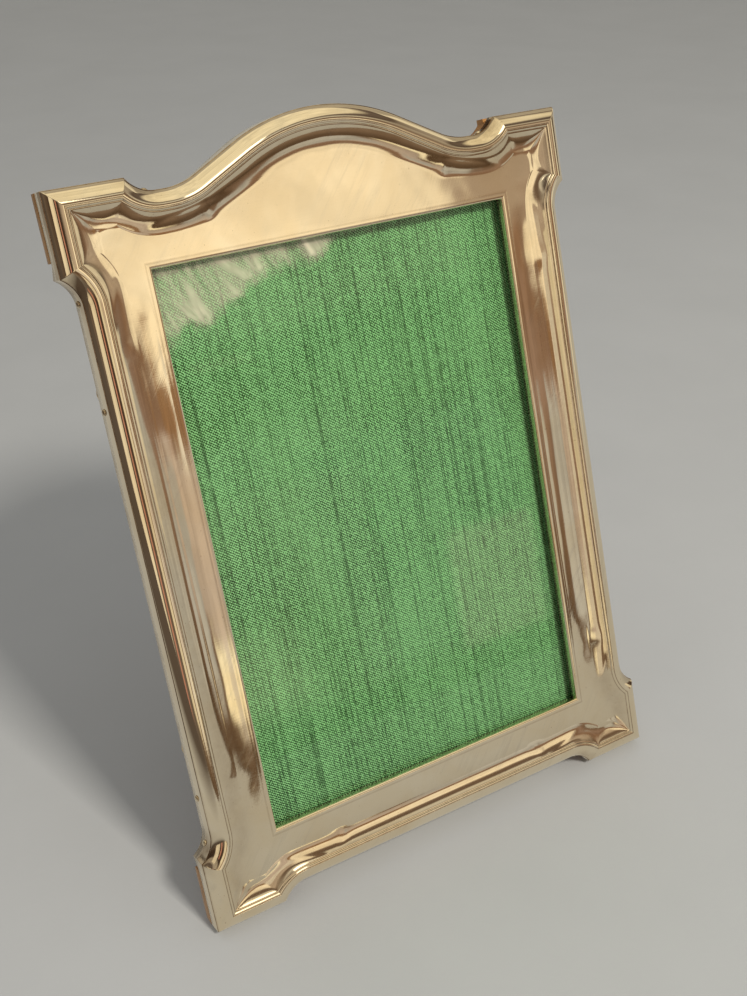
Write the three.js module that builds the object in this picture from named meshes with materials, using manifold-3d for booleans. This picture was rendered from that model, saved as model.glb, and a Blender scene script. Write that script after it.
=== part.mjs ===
// Easel photo frame: stamped silver front over an oak back, glass, silk panel and hinged strut.
import * as THREE from "three";
import { mergeVertices } from "three/addons/utils/BufferGeometryUtils.js";
import Manifold3d from "manifold-3d";

const wasm = await Manifold3d();
wasm.setup();

// Driving sizes in millimetres, angles in degrees
const PRINT_W = 101.6;
const PRINT_H = 152.4;
const SIGHT_COVER_W = 2.3;
const SIGHT_COVER_H = 4.7;
const BORDER = 17.2;
const EAR_STEP = 3.7;
const EAR_LENGTH = 19.3;
const COVE_TURN = 58;
const DIP_FLAT = 2;
const ARCH_SLOPE = 27;
const ARCH_SHARE = 0.54;
const DIP_SHARE = 0.19;
const SHEET = 0.5;
const SHOULDER_DEPTH = 1.2;
const CREST_INSET = 3.9;
const CREST_RISE = 1.6;
const BEAD_W = 1;
const FOOT_INSET = 7.7;
const FOOT_DROP = 0.2;
const FIELD_DEPTH = 0.3;
const MOULDING_W = 10;
const EAR_SKIRT = 4.4;
const DIP_SKIRT = 2.6;
const RAIL_SKIRT = 6.4;
const EAR_WRAP = 3.5;
const LIP_ROLL = 1.4;
const LIP_DEPTH = 3;
const GLASS_T = 1.5;
const SILK_T = 0.3;
const CARD_T = 0.8;
const BOARD_T = 2;
const LEAN = 20;
const FOOT_FLAT = 2.2;
const STRUT_OPEN = 35;
const STRUT_T = 4;
const STRUT_TOP_W = 25;
const STRUT_FOOT_W = 38;
const HINGE_UP = 32;
const LEAF_W = 24;
const LEAF_H = 13;
const LEAF_T = 1;
const KNUCKLE_R = 2;
const HINGE_PIN_R = 0.9;
const RIBBON_W = 10;
const RIBBON_T = 0.4;
const RIBBON_TAB = 9;
const RIBBON_DOWN = 72;
const SLOT_DOWN = 82;
const BUTTON_L = 18;
const BUTTON_W = 7;
const BUTTON_T = 1.2;
const BUTTON_UP = 0.3;
const BUTTON_OUT = 5;
const EDGE_PIN_R = 0.45;
const EDGE_PIN_L = 5;
const RAIL_PIN_UP = 42;
const RAIL_PIN_DOWN = 57.5;
const HIGH_PIN_TURN = 5;
const LOW_PIN_TURN = 25;
const END_PIN_TURN = 17;
const SCREW_R = 0.8;
const REBATE_FIT = 0.5;
const FIT = 0.3;
const BORE_FIT = 0.25;
const RUN_FIT = 0.1;

// Sizes that follow from them
const rad = THREE.MathUtils.degToRad;
const apertureX = PRINT_W / 2 - SIGHT_COVER_W;
const apertureZ = PRINT_H / 2 - SIGHT_COVER_H;
const railX = apertureX + BORDER;
const railZ = apertureZ + BORDER;
const earX = railX + EAR_STEP;
const earZ = railZ + EAR_STEP;
const coveR = EAR_STEP / (1 - Math.cos(rad(COVE_TURN)));
const coveRun = coveR * Math.sin(rad(COVE_TURN));
const railEndX = earX - EAR_LENGTH - coveRun;
const railEndZ = earZ - EAR_LENGTH - coveRun;
const woodFront = FIELD_DEPTH + FOOT_DROP + SHEET + FIT;
const glassFront = LIP_DEPTH + FIT;
const silkFront = glassFront + GLASS_T + FIT;
const cardFront = silkFront + SILK_T + FIT;
const boardFront = cardFront + CARD_T + FIT;
const rear = boardFront + BOARD_T;
const rebateX = PRINT_W / 2 + REBATE_FIT;
const rebateZ = PRINT_H / 2 + REBATE_FIT;
const pinDepth = rear + FIT + KNUCKLE_R;
const strutFront = rear + 2 * FIT + LEAF_T;
const lean = rad(LEAN);
const open = rad(STRUT_OPEN);

const silver = new THREE.MeshStandardMaterial({ color: 0xd9c8a8, metalness: 1, roughness: 0.22 });
const oak = new THREE.MeshStandardMaterial({ color: 0x9a6330, metalness: 0, roughness: 0.5 });
const boardOak = new THREE.MeshStandardMaterial({ color: 0x875428, metalness: 0, roughness: 0.55 });
const glass = new THREE.MeshStandardMaterial({
  color: 0xeaf2ee, roughness: 0.03, transparent: true, opacity: 0.2,
});
const silk = new THREE.MeshStandardMaterial({ color: 0x4f9150, metalness: 0, roughness: 0.6 });
const card = new THREE.MeshStandardMaterial({ color: 0xd8cfb8, metalness: 0, roughness: 0.9 });
const brass = new THREE.MeshStandardMaterial({ color: 0xc59b4e, metalness: 1, roughness: 0.3 });
const ribbon = new THREE.MeshStandardMaterial({ color: 0x5b3a22, metalness: 0, roughness: 0.7 });

// A closed solid from a geometry, with equal corners joined and its faces turned outward
function solidOf(geometry) {
  const bare = new THREE.BufferGeometry();
  bare.setAttribute("position", geometry.getAttribute("position").clone());
  bare.setIndex(geometry.index);
  const joined = mergeVertices(bare, 1e-4);
  const at = joined.getAttribute("position");
  const index = [];
  const corner = [new THREE.Vector3(), new THREE.Vector3(), new THREE.Vector3()];
  let volume = 0;
  for (let i = 0; i < joined.index.count; i += 3) {
    const three = [0, 1, 2].map((k) => joined.index.getX(i + k));
    if (new Set(three).size < 3) continue;
    three.forEach((v, k) => corner[k].fromBufferAttribute(at, v));
    volume += corner[0].dot(corner[1].clone().cross(corner[2]));
    index.push(three);
  }
  if (volume < 0) index.forEach((three) => three.reverse());
  return new wasm.Manifold(new wasm.Mesh({
    numProp: 3,
    vertProperties: new Float32Array(at.array),
    triVerts: new Uint32Array(index.flat()),
  }));
}

function geometryOf(solid) {
  const mesh = solid.getMesh();
  const geometry = new THREE.BufferGeometry();
  geometry.setAttribute("position", new THREE.BufferAttribute(mesh.vertProperties, mesh.numProp));
  geometry.setIndex(new THREE.BufferAttribute(mesh.triVerts, 1));
  geometry.computeVertexNormals();
  return geometry;
}

function add(group, name, solid, material) {
  const mesh = new THREE.Mesh(geometryOf(solid), material);
  mesh.name = name;
  group.add(mesh);
}

const less = (solid, cutters) => cutters.reduce((left, cutter) => left.subtract(cutter), solid);
const joinAll = (solids) => solids.reduce((sum, solid) => sum.add(solid));

// Coordinates on the face: x to the right, y back through the frame, z up the face
function block(x, y, z) {
  const box = new THREE.BoxGeometry(x[1] - x[0], y[1] - y[0], z[1] - z[0]);
  box.translate((x[0] + x[1]) / 2, (y[0] + y[1]) / 2, (z[0] + z[1]) / 2);
  return solidOf(box);
}

function shapeOf(points) {
  return new THREE.Shape(points.map((p) => new THREE.Vector2(p[0], p[1])));
}

// An outline in x and z, drawn out in y
function slab(points, front, back) {
  const drawn = new THREE.ExtrudeGeometry(shapeOf(points), { depth: back - front, bevelEnabled: false });
  drawn.applyMatrix4(new THREE.Matrix4().set(1, 0, 0, 0, 0, 0, 1, front, 0, 1, 0, 0, 0, 0, 0, 1));
  return solidOf(drawn);
}

// An outline in y and z, drawn out in x about the middle
function across(points, width, middle = 0) {
  const drawn = new THREE.ExtrudeGeometry(shapeOf(points), { depth: width, bevelEnabled: false });
  const start = middle - width / 2;
  drawn.applyMatrix4(new THREE.Matrix4().set(0, 0, 1, start, 1, 0, 0, 0, 0, 1, 0, 0, 0, 0, 0, 1));
  return solidOf(drawn);
}

// A round solid from a profile of radius and height, stood at a place along a direction
function turned(profile, place, direction, steps = 14) {
  const round = new THREE.LatheGeometry(profile.map((p) => new THREE.Vector2(p[0], p[1])), steps);
  const turn = new THREE.Quaternion().setFromUnitVectors(
    new THREE.Vector3(0, 1, 0), new THREE.Vector3(...direction));
  round.applyQuaternion(turn);
  round.translate(...place);
  return solidOf(round);
}

function rod(radius, from, to, place, direction, steps = 14) {
  return turned([[0, from], [radius, from], [radius, to], [0, to]], place, direction, steps);
}

function arc(x, z, r, from, to, steps) {
  const points = [];
  for (let i = 0; i <= steps; i += 1) {
    const a = rad(from + ((to - from) * i) / steps);
    points.push([x + r * Math.cos(a), z + r * Math.sin(a)]);
  }
  return points;
}

// The outline of the silver, clockwise from the left end of the top rail: each corner has the depth
// that the skirt reaches there, deep along the rails and side coves, less at the ears, least in the dips
const skirted = (points, reach) => points.map((p) => ({ p, skirt: SHOULDER_DEPTH + reach }));

function earOutline() {
  const topCove = arc(railEndX, railZ + coveR, coveR, -90, COVE_TURN - 90, 5);
  const sideCove = arc(railX + coveR, railEndZ, coveR, 180 - COVE_TURN, 180, 5);
  const [tip, wrap] = skirted([[earX, earZ], [earX, earZ - EAR_LENGTH + EAR_WRAP]], EAR_SKIRT);
  const [start] = skirted([[earX - EAR_LENGTH + EAR_WRAP, earZ]], EAR_SKIRT);
  return [
    ...skirted(topCove, DIP_SKIRT), { ...start, onEdge: true }, tip, { ...wrap, onEdge: true },
    ...skirted(sideCove, RAIL_SKIRT),
  ];
}

function archOutline() {
  const half = railEndX - DIP_FLAT;
  const slope = rad(ARCH_SLOPE);
  const archR = (ARCH_SHARE * half) / Math.sin(slope);
  const dipR = (DIP_SHARE * half) / Math.sin(slope);
  const straight = (1 - ARCH_SHARE - DIP_SHARE) * half * Math.tan(slope);
  const top = railZ + straight + (archR + dipR) * (1 - Math.cos(slope));
  return [
    ...skirted(arc(-half, railZ + dipR, dipR, -90, ARCH_SLOPE - 90, 4), DIP_SKIRT),
    ...skirted(arc(0, top - archR, archR, 90 + ARCH_SLOPE, 90 - ARCH_SLOPE, 12), RAIL_SKIRT),
    ...skirted(arc(half, railZ + dipR, dipR, -90 - ARCH_SLOPE, -90, 4), DIP_SKIRT),
  ];
}

const mirrored = (corners, sx, sz) => corners.map(
  (corner) => ({ ...corner, p: [sx * corner.p[0], sz * corner.p[1]] }));
const ear = earOutline();
const rampX = railEndX - DIP_FLAT;
const outline = [
  ...archOutline(),
  ...ear,
  ...mirrored(ear, 1, -1).reverse(),
  ...skirted([[rampX, -railZ], [-rampX, -railZ]], RAIL_SKIRT),
  ...mirrored(ear, -1, -1),
  ...mirrored(ear, -1, 1).reverse(),
];

// The way each corner of the outline moves for each millimetre that the outline goes in; a corner that
// lies on a straight edge keeps its share of that edge
const around = (list, i) => [list.at(i - 1), list[(i + 1) % list.length]];
const turnIn = outline.map((corner, i) => {
  const [before, after] = around(outline, i).map((next) => next.p);
  const normal = (a, b) => {
    const length = Math.hypot(b[0] - a[0], b[1] - a[1]);
    return [(b[1] - a[1]) / length, (a[0] - b[0]) / length];
  };
  const one = normal(before, corner.p);
  const two = normal(corner.p, after);
  const share = 1 + one[0] * two[0] + one[1] * two[1];
  return [(one[0] + two[0]) / share, (one[1] + two[1]) / share];
});
const inward = turnIn.map((way, i) => {
  if (!outline[i].onEdge) return way;
  const [before, after] = around(outline, i).map((next) => next.p);
  const share = Math.hypot(outline[i].p[0] - before[0], outline[i].p[1] - before[1])
    / Math.hypot(after[0] - before[0], after[1] - before[1]);
  const [one, two] = around(turnIn, i);
  return one.map((part, k) => part + share * (two[k] - part));
});

function inset(distance) {
  return outline.map((corner, i) => [
    corner.p[0] + distance * inward[i][0],
    corner.p[1] + distance * inward[i][1],
  ]);
}

// The silver front: a loop of corners for each line of the moulding, outside and then inside
function silverFront() {
  const at = [];
  const faces = [];
  const loop = (points, depths) => points.map((p, i) => at.push(p[0], depths[i], p[1]) / 3 - 1);
  const ring = (distance, depth) => loop(inset(distance), outline.map(() => depth));
  const skirt = (distance) => loop(inset(distance), outline.map((corner) => corner.skirt));
  const sight = (distance, depth) => {
    const x = apertureX + distance;
    const z = apertureZ + distance;
    return loop([[-x, z], [x, z], [x, -z], [-x, -z]], [depth, depth, depth, depth]);
  };
  const strip = (a, b) => a.forEach((_, i) => {
    const j = (i + 1) % a.length;
    faces.push(a[i], b[i], a[j], a[j], b[i], b[j]);
  });
  const flat = (outer, hole, sign) => {
    const corner = (v) => new THREE.Vector2(at[3 * v], at[3 * v + 2]);
    const all = [...outer, ...hole];
    THREE.ShapeUtils.triangulateShape(outer.map(corner), [hole.map(corner)]).forEach((three) => {
      const [a, b, c] = three.map((k) => corner(all[k]));
      const turn = b.clone().sub(a).cross(c.clone().sub(a)) * sign;
      const order = turn > 0 ? three : [...three].reverse();
      faces.push(...order.map((k) => all[k]));
    });
  };
  const rise = SHOULDER_DEPTH + CREST_RISE;
  const ovolo = (thick, steps) => Array.from({ length: steps + 1 }, (_, k) => {
    const t = (k / steps) * (Math.PI / 2);
    return ring(thick + (CREST_INSET - thick) * (1 - Math.cos(t)),
      SHOULDER_DEPTH - (rise - thick) * Math.sin(t));
  });
  const beadInset = CREST_INSET + BEAD_W;
  const beadDepth = -0.7 * CREST_RISE;
  const footDepth = FIELD_DEPTH + FOOT_DROP;
  const outside = [
    skirt(0),
    ...ovolo(0, 4),
    ring(beadInset, beadDepth),
    ring(FOOT_INSET, footDepth),
    ring(MOULDING_W, FIELD_DEPTH),
  ];
  const lip = [
    sight(LIP_ROLL, FIELD_DEPTH),
    sight(0.65 * LIP_ROLL, FIELD_DEPTH - 0.2 * LIP_ROLL),
    sight(0.25 * LIP_ROLL, FIELD_DEPTH - 0.14 * LIP_ROLL),
    sight(0, FIELD_DEPTH + 0.25 * LIP_ROLL),
    sight(0, LIP_DEPTH),
    sight(SHEET, LIP_DEPTH),
    sight(SHEET, FIELD_DEPTH + 1.2 * SHEET),
    sight(LIP_ROLL + SHEET, FIELD_DEPTH + SHEET),
  ];
  const inside = [
    ring(MOULDING_W, FIELD_DEPTH + SHEET),
    ring(FOOT_INSET, footDepth + SHEET),
    ring(beadInset, beadDepth + 1.2 * SHEET),
    ...ovolo(SHEET, 3).reverse(),
    skirt(SHEET),
  ];
  const chain = (loops) => loops.slice(1).forEach((next, k) => strip(loops[k], next));
  chain(outside);
  flat(outside.at(-1), lip[0], 1);
  chain(lip);
  flat(inside[0], lip.at(-1), -1);
  chain([...inside, outside[0]]);
  const geometry = new THREE.BufferGeometry();
  geometry.setAttribute("position", new THREE.Float32BufferAttribute(at, 3));
  geometry.setIndex(faces);
  return solidOf(geometry);
}

// Pins that hold the silver's skirt to the edge of the oak, and their holes: one in each cove, square
// to it at a turn from the rail's end, and two on each side rail
const railPinMid = SHOULDER_DEPTH + 0.62 * RAIL_SKIRT;
const dipPinMid = SHOULDER_DEPTH + 0.55 * DIP_SKIRT;
function covePin(turn) {
  const [sin, cos] = [Math.sin(rad(turn)), Math.cos(rad(turn))];
  return { sin, cos, along: coveR * sin, out: coveR * (1 - cos) };
}
const pinPlaces = [];
for (const side of [-1, 1]) {
  for (const end of [-1, 1]) {
    const onSide = covePin(end > 0 ? HIGH_PIN_TURN : LOW_PIN_TURN);
    pinPlaces.push({
      at: [side * (railX + onSide.out), railPinMid, end * (railEndZ + onSide.along)],
      out: [side * onSide.cos, 0, -end * onSide.sin],
    });
    const onEnd = covePin(END_PIN_TURN);
    pinPlaces.push({
      at: [side * (railEndX + onEnd.along), dipPinMid, end * (railZ + onEnd.out)],
      out: [-side * onEnd.sin, 0, end * onEnd.cos],
    });
  }
  for (const up of [RAIL_PIN_UP, -RAIL_PIN_DOWN]) {
    pinPlaces.push({ at: [side * railX, railPinMid, up], out: [side, 0, 0] });
  }
}
const edgePins = pinPlaces.map((pin) => turned([
  [0, -EDGE_PIN_L], [EDGE_PIN_R, -EDGE_PIN_L], [EDGE_PIN_R, FIT], [2 * EDGE_PIN_R, FIT],
  [1.6 * EDGE_PIN_R, FIT + EDGE_PIN_R], [0, FIT + 1.3 * EDGE_PIN_R],
], pin.at, pin.out, 10));
const edgeHoles = pinPlaces.map((pin) => rod(
  EDGE_PIN_R + BORE_FIT, -EDGE_PIN_L - FIT, 1, pin.at, pin.out, 10));

// Turn-buttons over the edge of the back board, each on its own screw
const buttonX = rebateX + BUTTON_OUT;
const buttonUp = BUTTON_UP * PRINT_H;
const buttonPlaces = [[-1, 1], [1, 1], [-1, -1], [1, -1]].map(
  (side) => [side[0] * buttonX, rear + FIT, side[1] * buttonUp]);
const BACK = [0, 1, 0];
const buttonScrewDepth = rear - woodFront - 2.5;
const buttonHoles = buttonPlaces.map((at) => rod(
  SCREW_R + BORE_FIT, -buttonScrewDepth - 2 * FIT, 1, at, BACK));

function buttonOutline() {
  const end = BUTTON_L / 2 - BUTTON_W / 2;
  return [...arc(end, 0, BUTTON_W / 2, -75, 75, 8), ...arc(-end, 0, BUTTON_W / 2, 105, 255, 8)];
}

// Oak back: the core under the silver, and the ears' blocks that show behind its short skirt
function oakFrame() {
  const blockFront = SHOULDER_DEPTH + EAR_SKIRT + FIT;
  const inZ = earZ - EAR_LENGTH + EAR_WRAP + FIT;
  const footIn = FOOT_FLAT * Math.cos(lean);
  const footUp = FOOT_FLAT * Math.sin(lean);
  const middle = earX - EAR_LENGTH / 2;
  const head = [[blockFront, inZ], [rear, inZ], [rear, earZ], [blockFront, earZ]];
  const foot = [
    [blockFront, -inZ], [blockFront, -earZ], [rear - footIn, -earZ], [rear, footUp - earZ], [rear, -inZ],
  ];
  const ears = [-1, 1].flatMap((side) => [
    across(head, EAR_LENGTH, side * middle),
    across(foot, EAR_LENGTH, side * middle),
  ]);
  const core = joinAll([slab(inset(SHEET + FIT), woodFront, rear), ...ears]);
  const sightX = apertureX + SHEET + FIT;
  const sightZ = apertureZ + SHEET + FIT;
  const footLine = -earZ + footUp;
  const under = across([
    [rear - footIn, -earZ], [rear + footIn, -earZ + 2 * footUp], [rear + footIn, footLine - 9],
    [rear - footIn, footLine - 9],
  ], 2 * earX + 2);
  return less(core, [
    block([-sightX, sightX], [0, rear], [-sightZ, sightZ]),
    block([-rebateX, rebateX], [LIP_DEPTH, rear + 1], [-rebateZ, rebateZ]),
    under,
    ...edgeHoles,
    ...buttonHoles,
  ]);
}

// Countersunk hinge screws, flush with the leaves
const leafScrewX = LEAF_W / 2 - 4.5;
const leafScrewOut = KNUCKLE_R + 0.55 * LEAF_H;
const leafScrewL = LEAF_T + FIT + 0.7 * BOARD_T;
function leafScrew(at, direction, grow) {
  const headR = 2 * SCREW_R;
  return turned([
    [0, -leafScrewL - grow], [SCREW_R + grow, -leafScrewL - grow], [SCREW_R + grow, -0.8 * LEAF_T],
    [headR + grow, 0], [headR + grow, grow > 0 ? 1 : 0.05], [0, grow > 0 ? 1 : 0.05],
  ], at, direction);
}

// One leaf of the hinge, lying below or above the pin, with its knuckles about the pin
function hingeLeaf(way, knuckles, screws) {
  const back = pinDepth - KNUCKLE_R;
  const from = way * (KNUCKLE_R + FIT);
  const to = way * (KNUCKLE_R + LEAF_H);
  const z = [HINGE_UP + Math.min(from, to), HINGE_UP + Math.max(from, to)];
  const root = [HINGE_UP + Math.min(0, from * 1.1), HINGE_UP + Math.max(0, from * 1.1)];
  const pieces = [block([-LEAF_W / 2, LEAF_W / 2], [back, back + LEAF_T], z)];
  for (const x of knuckles) {
    pieces.push(block(x, [back, back + LEAF_T], root));
    pieces.push(rod(KNUCKLE_R, x[0], x[1], [0, pinDepth, HINGE_UP], [1, 0, 0], 20));
  }
  const bore = rod(HINGE_PIN_R + RUN_FIT, -LEAF_W, LEAF_W, [0, pinDepth, HINGE_UP], [1, 0, 0], 20);
  return less(joinAll(pieces), [bore, ...screws]);
}

const third = LEAF_W / 6;
const boardScrewPlaces = [-leafScrewX, leafScrewX].map(
  (x) => [x, rear + FIT + LEAF_T, HINGE_UP + leafScrewOut]);
const strutScrewPlaces = [-leafScrewX, leafScrewX].map(
  (x) => [x, rear + FIT, HINGE_UP - leafScrewOut]);
const FRONT = [0, -1, 0];

// The strut as it lies folded; its foot is cut level with the floor that the frame's feet stand on
const spread = open - lean;
const floor = -(rear - FOOT_FLAT * Math.cos(lean)) * Math.sin(lean) - earZ * Math.cos(lean);
const pinHeight = HINGE_UP * Math.cos(lean) - pinDepth * Math.sin(lean) - floor;
const footAt = (depth) => HINGE_UP - (pinHeight + (depth - pinDepth) * Math.sin(spread)) / Math.cos(spread);
const slotZ = HINGE_UP - SLOT_DOWN;
const ribbonZ = HINGE_UP - RIBBON_DOWN;

function strutBoard() {
  const top = HINGE_UP - KNUCKLE_R - 2 * FIT;
  const low = footAt(strutFront + STRUT_T) - 2;
  const halfTop = STRUT_TOP_W / 2;
  const halfFoot = STRUT_FOOT_W / 2;
  const nip = 2;
  const body = slab([
    [-halfTop, top - nip], [-halfTop + nip, top], [halfTop - nip, top], [halfTop, top - nip],
    [halfFoot, low], [-halfFoot, low],
  ], strutFront, strutFront + STRUT_T);
  const below = across([
    [strutFront - 1, footAt(strutFront - 1)], [strutFront + STRUT_T + 1, footAt(strutFront + STRUT_T + 1)],
    [strutFront + STRUT_T + 1, low - 9], [strutFront - 1, low - 9],
  ], 2 * STRUT_FOOT_W);
  const slotHalf = RIBBON_W / 2 + FIT;
  const slot = block([-slotHalf, slotHalf], [strutFront - 1, strutFront + STRUT_T + 1],
    [slotZ - 1.2, slotZ + 1.2]);
  const clear = rod(tackR + 1, -1, 1.2, [0, strutFront, ribbonZ], BACK);
  return less(body, [below, slot, clear, ...strutTackHole, ...strutScrewPlaces.map(
    (at) => leafScrew(at, FRONT, BORE_FIT))]);
}

// Round-headed tacks through the ends of the ribbon
const tackR = 1.9;
const tackShank = 0.6;
function tack(at, direction, length) {
  return turned([
    [0, -length], [tackShank, -length], [tackShank, 0], [tackR, 0], [0.75 * tackR, 0.45], [0, 0.7],
  ], at, direction);
}
const tackSeat = RIBBON_T + 0.5;
const boardTackAt = [0, rear + tackSeat, ribbonZ];
const strutTackAt = [0, strutFront + STRUT_T + tackSeat, slotZ - RIBBON_TAB / 2 - 1.2];
const tackLength = tackSeat + 0.75 * BOARD_T;
const tackHole = (at) => rod(tackShank + BORE_FIT, -tackLength - FIT, 1, at, BACK);
const boardTackHole = tackHole(boardTackAt);
const strutTackHole = [tackHole(strutTackAt)];

// The ribbon runs from the board through the strut's slot to the strut's back, drawn taut
function stayRibbon() {
  const turn = (depth, z) => {
    const y = depth - pinDepth;
    const h = z - HINGE_UP;
    const back = pinDepth + y * Math.cos(open) - h * Math.sin(open);
    return [back, HINGE_UP + y * Math.sin(open) + h * Math.cos(open)];
  };
  const off = 0.25 + RIBBON_T / 2;
  const path = [
    [rear + off, ribbonZ + RIBBON_TAB / 2],
    [rear + off, ribbonZ - RIBBON_TAB / 2],
    turn(strutFront - 0.5, slotZ),
    turn(strutFront + STRUT_T + off, slotZ),
    turn(strutFront + STRUT_T + off, slotZ - RIBBON_TAB - 1),
  ];
  const side = (sign) => path.map((p, i) => {
    const a = path[Math.max(i - 1, 0)];
    const b = path[Math.min(i + 1, path.length - 1)];
    const unit = (u, v) => {
      const length = Math.hypot(v[0] - u[0], v[1] - u[1]) || 1;
      return [(v[0] - u[0]) / length, (v[1] - u[1]) / length];
    };
    const one = i > 0 ? unit(a, p) : unit(p, b);
    const two = i < path.length - 1 ? unit(p, b) : one;
    const share = 1 + one[0] * two[0] + one[1] * two[1];
    const reach = (sign * RIBBON_T) / 2 / share;
    return [p[0] - reach * (one[1] + two[1]), p[1] + reach * (one[0] + two[0])];
  });
  const strip = across([...side(1), ...side(-1).reverse()], RIBBON_W);
  const [depth, z] = turn(strutTackAt[1], strutTackAt[2]);
  const way = [0, Math.cos(open), Math.sin(open)];
  return less(strip, [boardTackHole, rod(tackShank + BORE_FIT, -3, 1, [0, depth, z], way)]);
}

// The frame, leaned back
const frame = new THREE.Group();
add(frame, "silver_front", less(silverFront(), edgeHoles), silver);
add(frame, "oak_frame", oakFrame(), oak);
const sheet = (front, thick) => block(
  [-PRINT_W / 2, PRINT_W / 2], [front, front + thick], [-PRINT_H / 2, PRINT_H / 2]);
add(frame, "glass_pane", sheet(glassFront, GLASS_T), glass);
add(frame, "silk_panel", sheet(silkFront, SILK_T), silk);
add(frame, "mount_card", sheet(cardFront, CARD_T), card);
const boardScrewHoles = boardScrewPlaces.map((at) => leafScrew(at, BACK, BORE_FIT));
add(frame, "back_board", less(sheet(boardFront, BOARD_T), [...boardScrewHoles, boardTackHole]), boardOak);
edgePins.forEach((pin, i) => add(frame, `edge_pin_${i + 1}`, pin, brass));

buttonPlaces.forEach((at, i) => {
  const outer = slab(buttonOutline(), 0, BUTTON_T).translate(at);
  const bore = rod(SCREW_R + RUN_FIT, -1, BUTTON_T + 1, at, BACK);
  add(frame, `turn_button_${i + 1}`, outer.subtract(bore), brass);
  const seat = BUTTON_T + FIT;
  add(frame, `button_screw_${i + 1}`, turned([
    [0, -buttonScrewDepth], [SCREW_R, -buttonScrewDepth], [SCREW_R, seat], [3 * SCREW_R, seat],
    [2.5 * SCREW_R, seat + SCREW_R], [0, seat + 1.4 * SCREW_R],
  ], at, BACK), brass);
});

const outerKnuckles = [[-LEAF_W / 2, -third - FIT], [third + FIT, LEAF_W / 2]];
add(frame, "hinge_leaf_board", hingeLeaf(1, outerKnuckles, boardScrewHoles), brass);
const pinHalf = LEAF_W / 2 + 0.8;
add(frame, "hinge_pin", rod(HINGE_PIN_R, -pinHalf, pinHalf, [0, pinDepth, HINGE_UP], [1, 0, 0], 16), brass);
boardScrewPlaces.forEach((at, i) => add(frame, `hinge_screw_${i + 1}`, leafScrew(at, BACK, 0), brass));
add(frame, "stay_tack_board", tack(boardTackAt, BACK, tackLength), brass);
add(frame, "stay_ribbon", stayRibbon(), ribbon);

// The strut and what is fixed to it, swung open about the hinge's pin
const swing = new THREE.Group();
const strutParts = new THREE.Group();
add(strutParts, "strut", strutBoard(), oak);
const strutScrewHoles = strutScrewPlaces.map((at) => leafScrew(at, FRONT, BORE_FIT));
add(strutParts, "hinge_leaf_strut", hingeLeaf(-1, [[-third, third]], strutScrewHoles), brass);
strutScrewPlaces.forEach((at, i) => {
  add(strutParts, `hinge_screw_${i + 3}`, leafScrew(at, FRONT, 0), brass);
});
add(strutParts, "stay_tack_strut", tack(strutTackAt, BACK, tackLength), brass);
strutParts.position.set(0, -pinDepth, -HINGE_UP);
swing.add(strutParts);
swing.position.set(0, pinDepth, HINGE_UP);
swing.rotation.x = open;
frame.add(swing);
frame.rotation.x = -lean;

// Stood on the floor, with the middle of its plan over the origin
const root = new THREE.Group();
root.name = "silver_photo_frame";
root.add(frame);
root.updateMatrixWorld(true);
const reach = new THREE.Box3().setFromObject(root, true);
frame.position.set(0, -(reach.min.y + reach.max.y) / 2, -floor);

export default root;
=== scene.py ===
import math

import bmesh
import bpy
from mathutils import Euler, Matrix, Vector, noise


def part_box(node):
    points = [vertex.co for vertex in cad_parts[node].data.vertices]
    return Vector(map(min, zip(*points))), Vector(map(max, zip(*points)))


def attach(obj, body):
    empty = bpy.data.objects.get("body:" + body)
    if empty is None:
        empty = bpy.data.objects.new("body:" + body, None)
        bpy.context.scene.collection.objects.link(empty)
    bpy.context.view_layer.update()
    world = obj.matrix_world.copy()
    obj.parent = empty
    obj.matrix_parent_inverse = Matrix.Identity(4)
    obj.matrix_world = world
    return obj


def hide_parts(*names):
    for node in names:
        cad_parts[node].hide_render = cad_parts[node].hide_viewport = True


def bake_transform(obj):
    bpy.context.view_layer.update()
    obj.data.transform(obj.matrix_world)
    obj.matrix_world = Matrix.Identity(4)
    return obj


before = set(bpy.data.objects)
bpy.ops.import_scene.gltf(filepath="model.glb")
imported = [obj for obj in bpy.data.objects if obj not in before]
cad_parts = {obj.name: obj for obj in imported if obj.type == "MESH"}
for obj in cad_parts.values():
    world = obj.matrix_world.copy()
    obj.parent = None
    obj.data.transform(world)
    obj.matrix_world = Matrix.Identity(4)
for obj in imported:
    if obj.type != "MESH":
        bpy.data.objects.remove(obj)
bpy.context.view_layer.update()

# Oak back
# The core of the frame: one oak board with a rebate cut behind its opening, the arrises eased with a
# plane, stained golden brown and waxed. The silver is drawn over its edge and pinned to it.
MM = 0.001
LEAN = math.radians(20)
OAK_EASE = 0.3 * MM
OAK_GOLD = (0.47, 0.235, 0.075, 1)
OAK_AMBER = (0.30, 0.13, 0.036, 1)
OAK_UMBER = (0.075, 0.03, 0.011, 1)


def add_piece(name, mesh):
    piece = bpy.data.objects.new(name, mesh)
    bpy.context.scene.collection.objects.link(piece)
    return piece


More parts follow.
